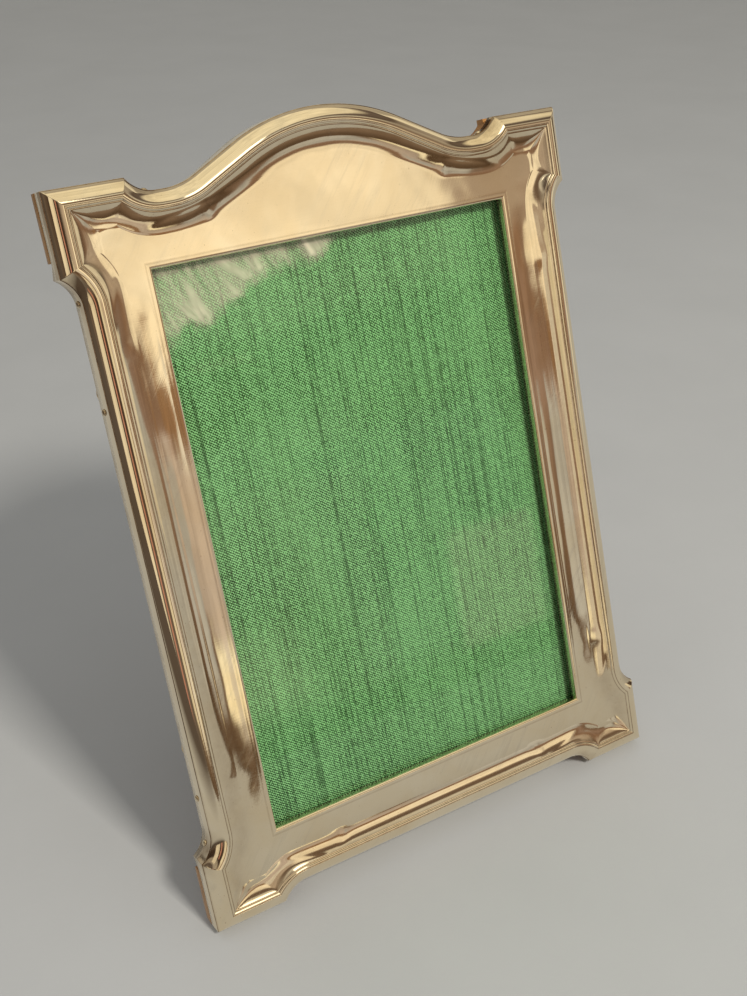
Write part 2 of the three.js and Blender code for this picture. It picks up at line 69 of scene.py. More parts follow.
def eased_copy(node, name, ease, steps=2):
    """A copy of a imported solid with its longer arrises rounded."""
    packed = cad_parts[node].data
    mesh = bpy.data.meshes.new(name)
    mesh.from_pydata([v.co for v in packed.vertices], [], [tuple(p.vertices) for p in packed.polygons])
    solid = bmesh.new()
    solid.from_mesh(mesh)
    bmesh.ops.remove_doubles(solid, verts=solid.verts, dist=2e-6)
    bmesh.ops.dissolve_limit(solid, angle_limit=math.radians(0.5), verts=solid.verts, edges=solid.edges)
    arrises = [edge for edge in solid.edges if len(edge.link_faces) == 2
               and edge.calc_face_angle() > math.radians(32) and edge.calc_length() > 3 * ease]
    bmesh.ops.bevel(solid, geom=arrises, offset=ease, offset_type="OFFSET", segments=steps, profile=0.5,
                    affect="EDGES", clamp_overlap=True)
    solid.to_mesh(mesh)
    solid.free()
    mesh.shade_smooth()
    mesh.set_sharp_from_angle(angle=math.radians(38))
    return add_piece(name, mesh)


def new_finish(name):
    finish = bpy.data.materials.new(name)
    finish.use_nodes = True
    tree = finish.node_tree
    tree.nodes.clear()
    output = tree.nodes.new("ShaderNodeOutputMaterial")
    shader = tree.nodes.new("ShaderNodeBsdfPrincipled")
    tree.links.new(shader.outputs[0], output.inputs[0])
    return finish, tree, shader


def fill(tree, socket, value):
    """A socket given a value, or a link from another node."""
    if isinstance(value, bpy.types.NodeSocket):
        tree.links.new(value, socket)
    else:
        socket.default_value = value


def set_inputs(tree, node, **inputs):
    for key, value in inputs.items():
        fill(tree, node.inputs[key.replace("_", " ")], value)


def new_node(tree, kind, settings, inputs):
    """A node with its settings and its sockets filled by name."""
    node = tree.nodes.new(kind)
    for key, value in (settings or {}).items():
        setattr(node, key, value)
    set_inputs(tree, node, **inputs)
    return node


def add_node(tree, kind, settings=None, **inputs):
    return new_node(tree, "ShaderNode" + kind, settings, inputs)


def ramp(tree, share, stops):
    node = add_node(tree, "ValToRGB", Fac=share)
    steps = node.color_ramp.elements
    while len(steps) < len(stops):
        steps.new(0.5)
    for step, (place, colour) in zip(steps, stops):
        step.position, step.color = place, colour if len(colour) == 4 else (*colour, 1)
    return node.outputs["Color"]


def greys(tree, share, *stops):
    """A ramp of plain greys, each from its place and its value."""
    return ramp(tree, share, [(place, (value, value, value)) for place, value in stops])


def mixed(tree, share, first, second, way="MIX"):
    node = tree.nodes.new("ShaderNodeMix")
    node.data_type, node.blend_type = "RGBA", way
    for place, value in zip((0, 6, 7), (share, first, second)):
        fill(tree, node.inputs[place], value)
    return node.outputs[2]


def sums(tree, way, first, second):
    node = tree.nodes.new("ShaderNodeMath")
    node.operation = way
    for socket, value in zip(node.inputs, (first, second)):
        fill(tree, socket, value)
    return node.outputs[0]


def times(tree, first, second):
    return sums(tree, "MULTIPLY", first, second)


def plus(tree, first, second):
    return sums(tree, "ADD", first, second)


def spread(tree, value, low, high, to_low=0.0, to_high=1.0, kind="LINEAR"):
    """A value stretched from one range to another."""
    return add_node(tree, "MapRange", {"interpolation_type": kind}, Value=value, From_Min=low, From_Max=high,
                    To_Min=to_low, To_Max=to_high).outputs[0]


def placed(tree, turn=(LEAN, 0, 0), scale=(1, 1, 1)):
    """Object coordinates turned with a piece, then stretched along its own axes."""
    spot = add_node(tree, "TexCoord").outputs["Object"]
    turned = add_node(tree, "Mapping", Vector=spot, Rotation=turn).outputs[0]
    return add_node(tree, "Mapping", Vector=turned, Scale=scale).outputs[0]


def speckle(tree, place, scale, detail=2.0, rough=0.5, bend=0.0):
    return add_node(tree, "TexNoise", Vector=place, Scale=scale, Detail=detail, Roughness=rough,
                    Distortion=bend).outputs["Fac"]


def relief(tree, shader, height, strength, distance, sunk=False):
    bump = add_node(tree, "Bump", {"invert": sunk}, Height=height, Strength=strength, Distance=distance)
    tree.links.new(bump.outputs[0], shader.inputs["Normal"])


def oak_finish(name, turn, gold, amber, umber, wax):
    """Oak with its rings, ray flecks and open pores running along the piece."""
    finish, tree, shader = new_finish(name)
    along = (turn, 0, 0)
    rings = add_node(tree, "TexWave", {"wave_type": "BANDS", "bands_direction": "X"},
                     Vector=placed(tree, along, (1, 0.7, 0.045)), Scale=34.0, Distortion=9.0, Detail=4.0,
                     Detail_Scale=1.1, Detail_Roughness=0.62).outputs["Fac"]
    drift = greys(tree, speckle(tree, placed(tree, along, (1, 1, 0.06)), 70.0, 4.0, 0.65),
                  (0.32, 0.1), (0.68, 0.85))
    plain = [a + 0.35 * (g - a) for a, g in zip(amber, gold)]
    body = mixed(tree, drift, ramp(tree, rings, [(0.05, amber), (0.8, gold)]), plain)
    flecks = greys(tree, speckle(tree, placed(tree, along, (1, 1, 0.2)), 420.0, 1.0), (0.6, 0), (0.72, 0.3))
    body = mixed(tree, flecks, body, gold)
    pores = greys(tree, speckle(tree, placed(tree, along, (1, 1, 0.045)), 1500.0, 2.0, 0.6),
                  (0.56, 0), (0.7, 1))
    tone = mixed(tree, times(tree, pores, 0.75), body, umber)
    worn = speckle(tree, placed(tree, along, (1, 1, 0.3)), 160.0, 2.0)
    worn = plus(tree, worn, times(tree, pores, 0.4))
    set_inputs(tree, shader, Base_Color=tone, Roughness=spread(tree, worn, 0.3, 1.0, wax, wax + 0.22),
               Coat_Weight=0.12, Coat_Roughness=0.3)
    relief(tree, shader, pores, 0.35, 0.00012, sunk=True)
    return finish


oak_back = eased_copy("oak_frame", "oak_back", OAK_EASE)
oak_back.data.materials.append(oak_finish("waxed oak", LEAN, OAK_GOLD, OAK_AMBER, OAK_UMBER, wax=0.36))
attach(oak_back, "frame")
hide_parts("oak_frame")

# Silver front
# One sheet of silver stamped in a die: a moulded border with eared corners and an arched top, a plain
# field, a beaded sight edge turned back to the glass, and a skirt folded over the edge of the oak.
SIGHT_X, SIGHT_Z = 48.5, 71.5
RAIL_X, RAIL_Z = 65.7, 88.7
EAR_STEP, EAR_LENGTH = 3.7, 19.3
EAR_X, EAR_Z = RAIL_X + EAR_STEP, RAIL_Z + EAR_STEP
COVE_TURN = math.radians(58)
COVE_R = EAR_STEP / (1 - math.cos(COVE_TURN))
COVE_RUN = COVE_R * math.sin(COVE_TURN)
RAIL_END_X = EAR_X - EAR_LENGTH - COVE_RUN
RAIL_END_Z = EAR_Z - EAR_LENGTH - COVE_RUN
DIP_FLAT = 2.0
DIP_X = RAIL_END_X - DIP_FLAT
ARCH_SLOPE = math.radians(27)
ARCH_SHARE, STRAIGHT_SHARE, DIP_SHARE = 0.54, 0.27, 0.19
ARCH_R = ARCH_SHARE * DIP_X / math.sin(ARCH_SLOPE)
DIP_R = DIP_SHARE * DIP_X / math.sin(ARCH_SLOPE)
ARCH_TOP = (RAIL_Z + STRAIGHT_SHARE * DIP_X * math.tan(ARCH_SLOPE)
            + (ARCH_R + DIP_R) * (1 - math.cos(ARCH_SLOPE)))
RAIL_SKIRT_END, EAR_SKIRT_END, DIP_SKIRT_END = 7.6, 5.6, 3.8
EAR_WRAP = 3.5
SHOULDER = (0.12, 1.3)
CREST = (3.8, -1.5)
BEAD_END = (4.88, -1.12)
FIELD_IN, FIELD_DEPTH = 10.0, 0.35
LIP_WIDE, LIP_DEEP, LIP_MARGIN = 1.5, 3.0, 0.3
SHEET = 0.5
TIP_SOFT, COVE_SOFT = 1.3, 0.7
DISH, DISH_FULL, DISH_END = 0.15, 56, 71
RIPPLE = 0.05
SILVER_BRIGHT = (0.95, 0.87, 0.73, 1)
SILVER_WARM = (0.89, 0.77, 0.58, 1)
SILVER_SCUFFED = (0.76, 0.70, 0.60, 1)
TARNISH = (0.20, 0.115, 0.055, 1)

FACE_UP = Vector((0, math.sin(LEAN), math.cos(LEAN)))
FACE_BACK = Vector((0, math.cos(LEAN), -math.sin(LEAN)))
GLASS_MIDDLE = 4.05
FACE_ORIGIN = sum(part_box("glass_pane"), Vector()) / 2 - FACE_BACK * GLASS_MIDDLE * MM


def on_face(x, depth, up):
    """A place in the row frame from millimetres across, behind and up the leaning face."""
    return FACE_ORIGIN + (Vector((x, 0, 0)) + FACE_BACK * depth + FACE_UP * up) * MM


def even(count):
    return [(k + 1) / count for k in range(count)]


COVE_SHARES = even(12)[:-1] + [0.97, 0.99, 1]
EAR_SHARES = [0.012, 0.04] + even(12)[:-1] + [0.96, 0.988, 1]


def ear_run(inset):
    """From the end of a rail through the cove to the tip of the ear, along the rail and out from it."""
    reach = COVE_R + inset
    turn = math.acos((reach - EAR_STEP) / reach)
    run = [(reach * math.sin(turn * s), COVE_R - reach * math.cos(turn * s)) for s in COVE_SHARES]
    start, tip = run[-1][0], COVE_RUN + EAR_LENGTH - inset
    return run + [(start + (tip - start) * s, EAR_STEP - inset) for s in EAR_SHARES]


def half_rail(end, inset):
    """From the middle of a straight rail to the tip of its ear."""
    places = [0] + [s * (end - DIP_FLAT) for s in even(34)] + [end - DIP_FLAT / 2, end]
    return [(place, -inset) for place in places] + [(end + run, out) for run, out in ear_run(inset)]


def half_top(inset):
    """From the top of the arch down through the dip to the tip of the ear."""
    arch, dip = ARCH_R - inset, DIP_R + inset
    points = [(arch * math.sin(ARCH_SLOPE * s), ARCH_TOP - ARCH_R + arch * math.cos(ARCH_SLOPE * s))
              for s in [0] + even(26)]
    turns = [ARCH_SLOPE * (1 - s) for s in [0] + even(14)]
    hollow = [(DIP_X - dip * math.sin(turn), RAIL_Z + DIP_R - dip * math.cos(turn)) for turn in turns]
    (x0, z0), (x1, z1) = points[-1], hollow[0]
    points += [(x0 + (x1 - x0) * s, z0 + (z1 - z0) * s) for s in even(7)[:-1]] + hollow
    points += [(DIP_X + DIP_FLAT * s, RAIL_Z - inset) for s in (0.5, 1)]
    return points + [(RAIL_END_X + run, RAIL_Z + out) for run, out in ear_run(inset)]


def ring(inset):
    """The whole outline at an inset, clockwise from the top left tip."""
    top, side, foot = half_top(inset), half_rail(RAIL_END_Z, inset), half_rail(RAIL_END_X, inset)
    points = [(-x, z) for x, z in reversed(top)] + top[1:]
    points += [(RAIL_X + out, run) for run, out in reversed(side)][1:]
    points += [(RAIL_X + out, -run) for run, out in side[1:]]
    points += [(run, -RAIL_Z - out) for run, out in reversed(foot)][1:]
    points += [(-run, -RAIL_Z - out) for run, out in foot[1:]]
    points += [(-RAIL_X - out, -run) for run, out in reversed(side)][1:]
    return points + [(-RAIL_X - out, run) for run, out in side[1:-1]]


field_edge = ring(FIELD_IN)
tip_x, tip_z = EAR_X - FIELD_IN, EAR_Z - FIELD_IN
side_marks = [abs(x) > RAIL_X - FIELD_IN - 1e-6 and (abs(z) < tip_z - 1e-6 or abs(x) > tip_x - 1e-6)
              for x, z in field_edge]


def sight_ring(distance):
    """The sight edge's rectangle, its points shared out as the field's edge shares them."""
    points = []
    for (x, z), side in zip(field_edge, side_marks):
        wide, tall = SIGHT_X + distance, SIGHT_Z + distance
        if side:
            points.append((math.copysign(wide, x), z * tall / tip_z))
        else:
            points.append((x * wide / tip_x, math.copysign(tall, z)))
    return points


def between(first, last, share):
    return first + (last - first) * min(max(share, 0), 1)


def skirt_depths():
    """How far back the skirt reaches: deep on the rails, less at the ears, least in the dips."""
    depths = []
    for x, z in ring(0):
        if abs(x) > RAIL_X - 1e-6 and abs(z) < EAR_Z - 1e-6:
            share = (abs(z) - RAIL_END_Z - COVE_RUN) / EAR_WRAP
            depths.append(between(RAIL_SKIRT_END, EAR_SKIRT_END, share))
        elif abs(x) > RAIL_END_X + COVE_RUN - 1e-6:
            depths.append(between(DIP_SKIRT_END, EAR_SKIRT_END, (abs(x) - RAIL_END_X - COVE_RUN) / EAR_WRAP))
        elif z > 0:
            share = (abs(x) - ARCH_SHARE * DIP_X) / (STRAIGHT_SHARE * DIP_X)
            depths.append(between(RAIL_SKIRT_END, DIP_SKIRT_END, share))
        else:
            depths.append(between(RAIL_SKIRT_END, DIP_SKIRT_END, (abs(x) - DIP_X) / DIP_FLAT))
    return depths


def eased_line(points, ease, steps=3):
    """A line of profile points with each corner rounded."""
    line = [points[0]]
    for before, corner, after in zip(points, points[1:], points[2:]):
        one, two = Vector(before[:2]) - Vector(corner[:2]), Vector(after[:2]) - Vector(corner[:2])
        start = Vector(corner[:2]) + one.normalized() * min(ease, one.length * 0.4)
        end = Vector(corner[:2]) + two.normalized() * min(ease, two.length * 0.4)
        for k in range(steps + 1):
            t = k / steps
            place = start * (1 - t) ** 2 + Vector(corner[:2]) * 2 * t * (1 - t) + end * t ** 2
            line.append((*place, corner[2]))
    return line + [points[-1]]


# Each row of the profile is its inset, its depth and how much tarnish has settled there
profile = [(0, 1.7, 0.2)]
profile += eased_line([(0, 1.6, 0.2), (0, 1.42, 0.7), (0.14, 1.37, 0.8), SHOULDER + (0.3,)], 0.05, 2)
for k in range(1, 19):
    t = k / 18
    pulls = ((1 - t) ** 3, 3 * t * (1 - t) ** 2, 3 * t * t * (1 - t), t ** 3)
    bends = (SHOULDER, (0.38, 0.2), (2.1, -1.5), CREST)
    profile.append((*[sum(pull * bend[axis] for pull, bend in zip(pulls, bends)) for axis in (0, 1)],
                    0.2 if k < 3 else 0.0))
profile += eased_line([(CREST[0] + 0.04, CREST[1], 0), (CREST[0] + 0.12, CREST[1], 0.3),
                       (CREST[0] + 0.2, CREST[1] + 0.09, 1.0), (CREST[0] + 0.28, CREST[1] + 0.03, 0.3),
                       (4.4, -1.4, 0.0), (BEAD_END[0] - 0.18, BEAD_END[1] - 0.1, 0.2),
                       (BEAD_END[0] - 0.1, BEAD_END[1] + 0.02, 0.9), BEAD_END + (0.2,)], 0.06, 2)[1:]
HOLLOW_START = len(profile)
for k in range(1, 17):
    t = k / 16
    profile.append((BEAD_END[0] + (FIELD_IN - BEAD_END[0]) * t, 0, 0.1 + 0.12 * math.sin(math.pi * t)))
lip = eased_line([(LIP_WIDE + LIP_MARGIN, FIELD_DEPTH, 0), (LIP_WIDE, FIELD_DEPTH + 0.01, 0.2),
                  (1.0, FIELD_DEPTH - 0.02, 0), (0.6, FIELD_DEPTH - 0.01, 0), (0.24, 0.5, 0),
                  (0.04, 0.9, 0.1), (0, 1.4, 0.3), (0, LIP_DEEP, 0.6)], 0.2)

rows, tarnish = [], []


def cove_mark(place, rail_end):
    """How near a place along a rail is to the middle of the cove, where tarnish gathers."""
    return max(0, 1 - abs(abs(place) - rail_end - 0.6 * COVE_RUN) / COVE_RUN)


cove_marks = [max(cove_mark(z, RAIL_END_Z), cove_mark(x, RAIL_END_X)) for x, z in ring(0)]


def add_row(points, depths, stain, coved=0.0):
    rows.append([(x, depth, z) for (x, z), depth in zip(points, depths)])
    tarnish.extend(stain + coved * cove for cove in cove_marks)


def ripples(points):
    """The slight unevenness of hand-finished sheet at each point."""
    return [RIPPLE * noise.noise(Vector((x * 0.07, z * 0.07, 3.1)))
            + 0.4 * RIPPLE * noise.noise(Vector((x * 0.21, z * 0.21, 8.7))) for x, z in points]


def hollow_depth(x, z, inset):
    """The hollow between bead and field, carried round the corners of each ear in one curve."""
    x, z, run = abs(x), abs(z), min(inset, FIELD_IN) - BEAD_END[0]
    over_top = math.dist((x, z), (RAIL_END_X, RAIL_Z + COVE_R)) - COVE_R
    over_side = math.dist((x, z), (RAIL_X + COVE_R, RAIL_END_Z)) - COVE_R
    held = inset
    for one, two, soft in ((EAR_X - x, EAR_Z - z, TIP_SOFT), (EAR_Z - z, over_top, COVE_SOFT),
                           (EAR_X - x, over_side, COVE_SOFT)):
        held -= max(soft * run - abs(one - two), 0) ** 2 / (4 * soft * run)
    t = min(max((held - BEAD_END[0]) / (FIELD_IN - BEAD_END[0]), 0), 1)
    return BEAD_END[1] + (FIELD_DEPTH - BEAD_END[1]) * (2 * t - t * t)


def smooth_step(low, high, value):
    t = min(max((value - low) / (high - low), 0), 1)
    return t * t * (3 - 2 * t)


outer = ring(0)
skirts = skirt_depths()
add_row(outer, skirts, 0.5, 0.5)
add_row(outer, [0.5 * depth + 0.85 for depth in skirts], 0.15, 0.7)
for k, (inset, depth, stain) in enumerate(profile):
    points = ring(inset)
    depths = [depth] * len(points) if k < HOLLOW_START else [hollow_depth(x, z, inset) for x, z in points]
    share = 0.3 if k < HOLLOW_START else 0.3 + 0.4 * (inset - BEAD_END[0]) / (FIELD_IN - BEAD_END[0])
    depths = [d + share * r for d, r in zip(depths, ripples(points))]
    add_row(points, depths, stain, max(0, 0.55 - 0.2 * inset))
first, last = ring(FIELD_IN), sight_ring(LIP_WIDE + LIP_MARGIN)
for k in range(1, 16):
    s = (k / 16) ** 1.25
    points = [(x0 + (x1 - x0) * s, z0 + (z1 - z0) * s) for (x0, z0), (x1, z1) in zip(first, last)]
    depths = [hollow_depth(x, z, FIELD_IN + math.dist((x, z), start)) for (x, z), start in zip(points, first)]
    hump = math.sin(math.pi * s)
    dish = [DISH * hump * smooth_step(DISH_END, DISH_FULL, abs(z)) * side
            for (x, z), side in zip(points, side_marks)]
    share = 0.7 + 0.6 * hump - 0.3 * s
    depths = [d + h + share * r for d, h, r in zip(depths, dish, ripples(points))]
    add_row(points, depths, 0.1 * (1 - s) ** 2)
for distance, depth, stain in lip:
    points = sight_ring(distance)
    add_row(points, [depth + (0.4 * r if depth < 0.5 else 0) for r in ripples(points)], stain)
for distance, depth in ((SHEET, LIP_DEEP), (SHEET, 1.0), (LIP_WIDE + SHEET, FIELD_DEPTH + 0.7)):
    points = sight_ring(distance)
    add_row(points, [depth] * len(points), 0.6)
for inset, depth in ((FIELD_IN, 1.0), (7.7, 0.75), (6.2, 0.3), (BEAD_END[0], -0.3),
                     (CREST[0], CREST[1] + 0.6), (1.9, -0.4), (SHEET, 1.5)):
    add_row(ring(inset), [depth] * len(outer), 0.6)
add_row(ring(SHEET), skirts, 0.6)


def closed_mesh(name, places, faces):
    """A mesh with all its faces turned outward and shaded smooth."""
    mesh = bpy.data.meshes.new(name)
    mesh.from_pydata(places, [], faces)
    whole = bmesh.new()
    whole.from_mesh(mesh)
    bmesh.ops.recalc_face_normals(whole, faces=whole.faces)
    whole.to_mesh(mesh)
    whole.free()
    mesh.shade_smooth()
    return mesh


count = len(outer)
corners = [on_face(*place) for row in rows for place in row]
quads = []
for r in range(len(rows)):
    for i in range(count):
        j, below = (i + 1) % count, (r + 1) % len(rows)
        quads.append((r * count + i, r * count + j, below * count + j, below * count + i))
shell = closed_mesh("silver_shell", corners, quads)
stained = shell.attributes.new("tarnish", "FLOAT", "POINT")
stained.data.foreach_set("value", tarnish)
silver_shell = add_piece("silver_shell", shell)


def silver_finish(name):
    """Polished silver, warm with age: tarnish in the quirks, cloudy film, hairline polishing marks."""
    finish, tree, shader = new_finish(name)
    settled = add_node(tree, "Attribute", {"attribute_name": "tarnish"}).outputs["Fac"]
    patchy = speckle(tree, placed(tree), 420.0, 4.0, 0.65)
    dark = times(tree, settled, greys(tree, patchy, (0.3, 0.55), (0.62, 1)))
    film = greys(tree, speckle(tree, placed(tree), 38.0, 4.0, 0.6, 0.6), (0.35, 0), (0.7, 1))
    pits = greys(tree, speckle(tree, placed(tree), 1500.0, 1.0), (0.74, 0), (0.8, 1))
    rubbed = placed(tree, (LEAN, math.radians(-38), 0), (1, 1, 0.07))
    scuffs = greys(tree, speckle(tree, rubbed, 640.0, 3.0, 0.65), (0.5, 0), (0.68, 1))
    handled = greys(tree, speckle(tree, placed(tree), 60.0, 3.0, 0.6), (0.42, 0), (0.62, 1))
    scuffed = times(tree, scuffs, handled)
    metal = mixed(tree, film, SILVER_BRIGHT, SILVER_WARM)
    metal = mixed(tree, times(tree, scuffed, 0.4), metal, SILVER_SCUFFED)
    metal = mixed(tree, times(tree, pits, 0.3), metal, TARNISH)
    lines = speckle(tree, placed(tree, scale=(60, 900, 2600)), 1.0, 3.0, 0.6)
    cross = speckle(tree, placed(tree, (LEAN, math.radians(62), 0), (40, 900, 2200)), 1.0, 3.0, 0.6)
    hair = plus(tree, lines, cross)
    dull = spread(tree, plus(tree, times(tree, film, 0.35), hair), 0.7, 1.6, 0.025, 0.075)
    dull = plus(tree, dull, times(tree, scuffed, 0.05))
    dull = plus(tree, dull, times(tree, dark, 0.12))
    set_inputs(tree, shader, Base_Color=mixed(tree, dark, metal, TARNISH), Metallic=1.0, Roughness=dull)
    relief(tree, shader, plus(tree, hair, scuffed), 0.035, 0.00004)
    return finish


silver_shell.data.materials.append(silver_finish("aged silver"))
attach(silver_shell, "frame")
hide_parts("silver_front")

# Edge pins
# Twelve short pins with small round heads, tapped through the silver's skirt into the edge of the oak: one
# in each cove and two on each side rail. They were dipped in silver and have worn back to pale brass.
PIN_HEAD_R, PIN_HEAD_H, PIN_SHANK_R, PIN_SHANK_L = 0.85, 0.5, 0.45, 4.6
RAIL_PIN_DEPTH, DIP_PIN_DEPTH = 5.17, 2.63
RAIL_PIN_UP, RAIL_PIN_DOWN = 42.0, 57.5
HIGH_PIN_TURN, LOW_PIN_TURN, END_PIN_TURN = [math.radians(turn) for turn in (5, 25, 17)]
PIN_PALE = (0.90, 0.82, 0.66, 1)
PIN_BROWN = (0.30, 0.17, 0.07, 1)


def brass_finish(name, bright, brown, share, dull):
    """Lacquered or worn brass: brown film in patches, bright where it is rubbed, fine scratches."""
    finish, tree, shader = new_finish(name)
    film = greys(tree, speckle(tree, placed(tree), 260.0, 5.0, 0.65, 0.4), (0.38, 0), (0.72, share))
    spots = greys(tree, speckle(tree, placed(tree), 1900.0, 2.0), (0.62, 0), (0.72, 0.5))
    tone = mixed(tree, sums(tree, "MAXIMUM", film, spots), bright, brown)
    lines = speckle(tree, placed(tree, (LEAN, math.radians(20), 0), (90, 900, 2400)), 1.0, 3.0, 0.6)
    rub = spread(tree, plus(tree, lines, film), 0.35, 1.2, dull, dull + 0.25)
    set_inputs(tree, shader, Base_Color=tone, Metallic=1.0, Roughness=rub)
    relief(tree, shader, lines, 0.12, 0.00006)
    return finish


def fastener_tree(name, slotted, finish):
    """A node tree that sets a round-headed fastener on each point, turned to the point's own direction."""
    tree = bpy.data.node_groups.new(name, "GeometryNodeTree")
    tree.interface.new_socket("Places", in_out="INPUT", socket_type="NodeSocketGeometry")
    for size in ("Head Radius", "Head Height", "Shank Radius", "Shank Length", "Slot Width"):
        tree.interface.new_socket(size, in_out="INPUT", socket_type="NodeSocketFloat")
    tree.interface.new_socket("Fasteners", in_out="OUTPUT", socket_type="NodeSocketGeometry")

    def make(kind, settings=None, **inputs):
        return new_node(tree, kind, settings, inputs)

    def triple(x, y, z):
        return make("ShaderNodeCombineXYZ", X=x, Y=y, Z=z).outputs[0]

    def lifted(shape, up):
        return make("GeometryNodeTransform", Geometry=shape, Translation=triple(0.0, 0.0, up)).outputs[0]

    given = make("NodeGroupInput").outputs
    radius, height = given["Head Radius"], given["Head Height"]
    wide = times(tree, radius, 3)
    ball = make("GeometryNodeMeshUVSphere", Segments=28, Rings=18, Radius=1.0).outputs["Mesh"]
    ball = make("GeometryNodeTransform", Geometry=ball, Scale=triple(radius, radius, height)).outputs[0]
    upper = make("GeometryNodeMeshCube", Size=triple(wide, wide, times(tree, height, 4))).outputs["Mesh"]
    dome = make("GeometryNodeMeshBoolean", {"operation": "INTERSECT"})
    tree.links.new(ball, dome.inputs[1])
    tree.links.new(lifted(upper, times(tree, height, 2)), dome.inputs[1])
    head = dome.outputs["Mesh"]
    if slotted:
        groove = make("GeometryNodeMeshCube", Size=triple(wide, given["Slot Width"], height)).outputs["Mesh"]
        cut = make("GeometryNodeMeshBoolean", {"operation": "DIFFERENCE"})
        tree.links.new(head, cut.inputs[0])
        tree.links.new(lifted(groove, times(tree, height, 1.02)), cut.inputs[1])
        head = cut.outputs["Mesh"]
    shank = make("GeometryNodeMeshCylinder", Vertices=16, Radius=given["Shank Radius"],
                 Depth=given["Shank Length"]).outputs["Mesh"]
    both = make("GeometryNodeJoinGeometry")
    tree.links.new(head, both.inputs[0])
    tree.links.new(lifted(shank, times(tree, given["Shank Length"], -0.499)), both.inputs[0])
    way = make("GeometryNodeInputNamedAttribute", {"data_type": "FLOAT_VECTOR"}, Name="way").outputs[0]
    aim = make("FunctionNodeAlignRotationToVector", {"axis": "Z"}, Vector=way).outputs[0]
    chance = make("FunctionNodeRandomValue", {"data_type": "FLOAT"}, Seed=7)
    next(i for i in chance.inputs if i.identifier == "Max_001").default_value = math.pi
    spin = make("FunctionNodeAxisAngleToRotation", Axis=(0, 0, 1),
                Angle=next(o for o in chance.outputs if o.identifier == "Value_001")).outputs[0]
    turn = make("FunctionNodeRotateRotation", {"rotation_space": "LOCAL"}, Rotation=aim,
                Rotate_By=spin).outputs[0]
    placed_heads = make("GeometryNodeInstanceOnPoints", Points=given["Places"], Instance=both.outputs[0],
                        Rotation=turn).outputs[0]
    solid = make("GeometryNodeRealizeInstances", Geometry=placed_heads).outputs[0]
    dressed = make("GeometryNodeSetMaterial", Geometry=solid, Material=finish).outputs[0]
    tree.links.new(dressed, make("NodeGroupOutput").inputs[0])
    return tree


def set_fasteners(name, tree, places, ways, head_r, head_h, shank_r, shank_l, slot_w=0.0):
    """One mesh with a fastener at each place; sizes in millimetres."""
    mesh = bpy.data.meshes.new(name)
    mesh.from_pydata(places, [], [])
    ways_held = mesh.attributes.new("way", "FLOAT_VECTOR", "POINT")
    ways_held.data.foreach_set("vector", [value for way in ways for value in way])
    piece = add_piece(name, mesh)
    nodes = piece.modifiers.new("fasteners", "NODES")
    nodes.node_group = tree
    sizes = {"Head Radius": head_r, "Head Height": head_h, "Shank Radius": shank_r, "Shank Length": shank_l,
             "Slot Width": slot_w}
    for socket in tree.interface.items_tree:
        if socket.name in sizes:
            nodes[socket.identifier] = sizes[socket.name] * MM
    bpy.context.view_layer.update()
    seen = piece.evaluated_get(bpy.context.evaluated_depsgraph_get())
    solid = bpy.data.meshes.new_from_object(seen)
    piece.modifiers.remove(nodes)
    piece.data = solid
    solid.shade_smooth()
    solid.set_sharp_from_angle(angle=math.radians(40))
    return piece


def in_cove(turn):
    """How far along the rail's line and out from it a turn about the cove's centre reaches."""
    return COVE_R * math.sin(turn), COVE_R * (1 - math.cos(turn))


pin_places, pin_ways = [], []
for side in (-1, 1):
    outward = Vector((side, 0, 0))
    for end, turn in ((1, HIGH_PIN_TURN), (-1, LOW_PIN_TURN)):
        run, out = in_cove(turn)
        pin_places.append(on_face(side * (RAIL_X + out), RAIL_PIN_DEPTH, end * (RAIL_END_Z + run)))
        pin_ways.append(outward * math.cos(turn) - FACE_UP * end * math.sin(turn))
        run, out = in_cove(END_PIN_TURN)
        pin_places.append(on_face(side * (RAIL_END_X + run), DIP_PIN_DEPTH, end * (RAIL_Z + out)))
        pin_ways.append(FACE_UP * end * math.cos(END_PIN_TURN) - outward * math.sin(END_PIN_TURN))
    for up in (RAIL_PIN_UP, -RAIL_PIN_DOWN):
        pin_places.append(on_face(side * RAIL_X, RAIL_PIN_DEPTH, up))
        pin_ways.append(outward)
pin_finish = brass_finish("silvered pin", PIN_PALE, PIN_BROWN, share=0.5, dull=0.16)
pin_tree = fastener_tree("pins along the edge", False, pin_finish)
edge_pins = set_fasteners("edge_pins", pin_tree, pin_places, pin_ways, PIN_HEAD_R, PIN_HEAD_H, PIN_SHANK_R,
                          PIN_SHANK_L)
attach(edge_pins, "frame")
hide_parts(*[f"edge_pin_{k}" for k in range(1, 13)])

# Glass
# A cut pane of thin drawn glass, lying in the rebate behind the turned edge of the silver. It is clear,
# a little green at its edge, and carries a faint film of dust and wiping marks. The dust shows only beyond
# a straight slanting edge, as a painted patch of light, and pale painted reflections lie on it in rectangles.
GLASS_CLEAR = (0.965, 0.985, 0.97, 1)
GLASS_SHINE = 0.04
GLASS_DUST_LIGHT_AND_REFLECTION = (0.86, 0.76, 0.58, 1)
DUST_LIGHT_LINE_X, DUST_LIGHT_LINE_Z, DUST_LIGHT_SLOPE = -25.0, 60.0, math.radians(18)
DUST_LIGHT_EDGE = 4.0
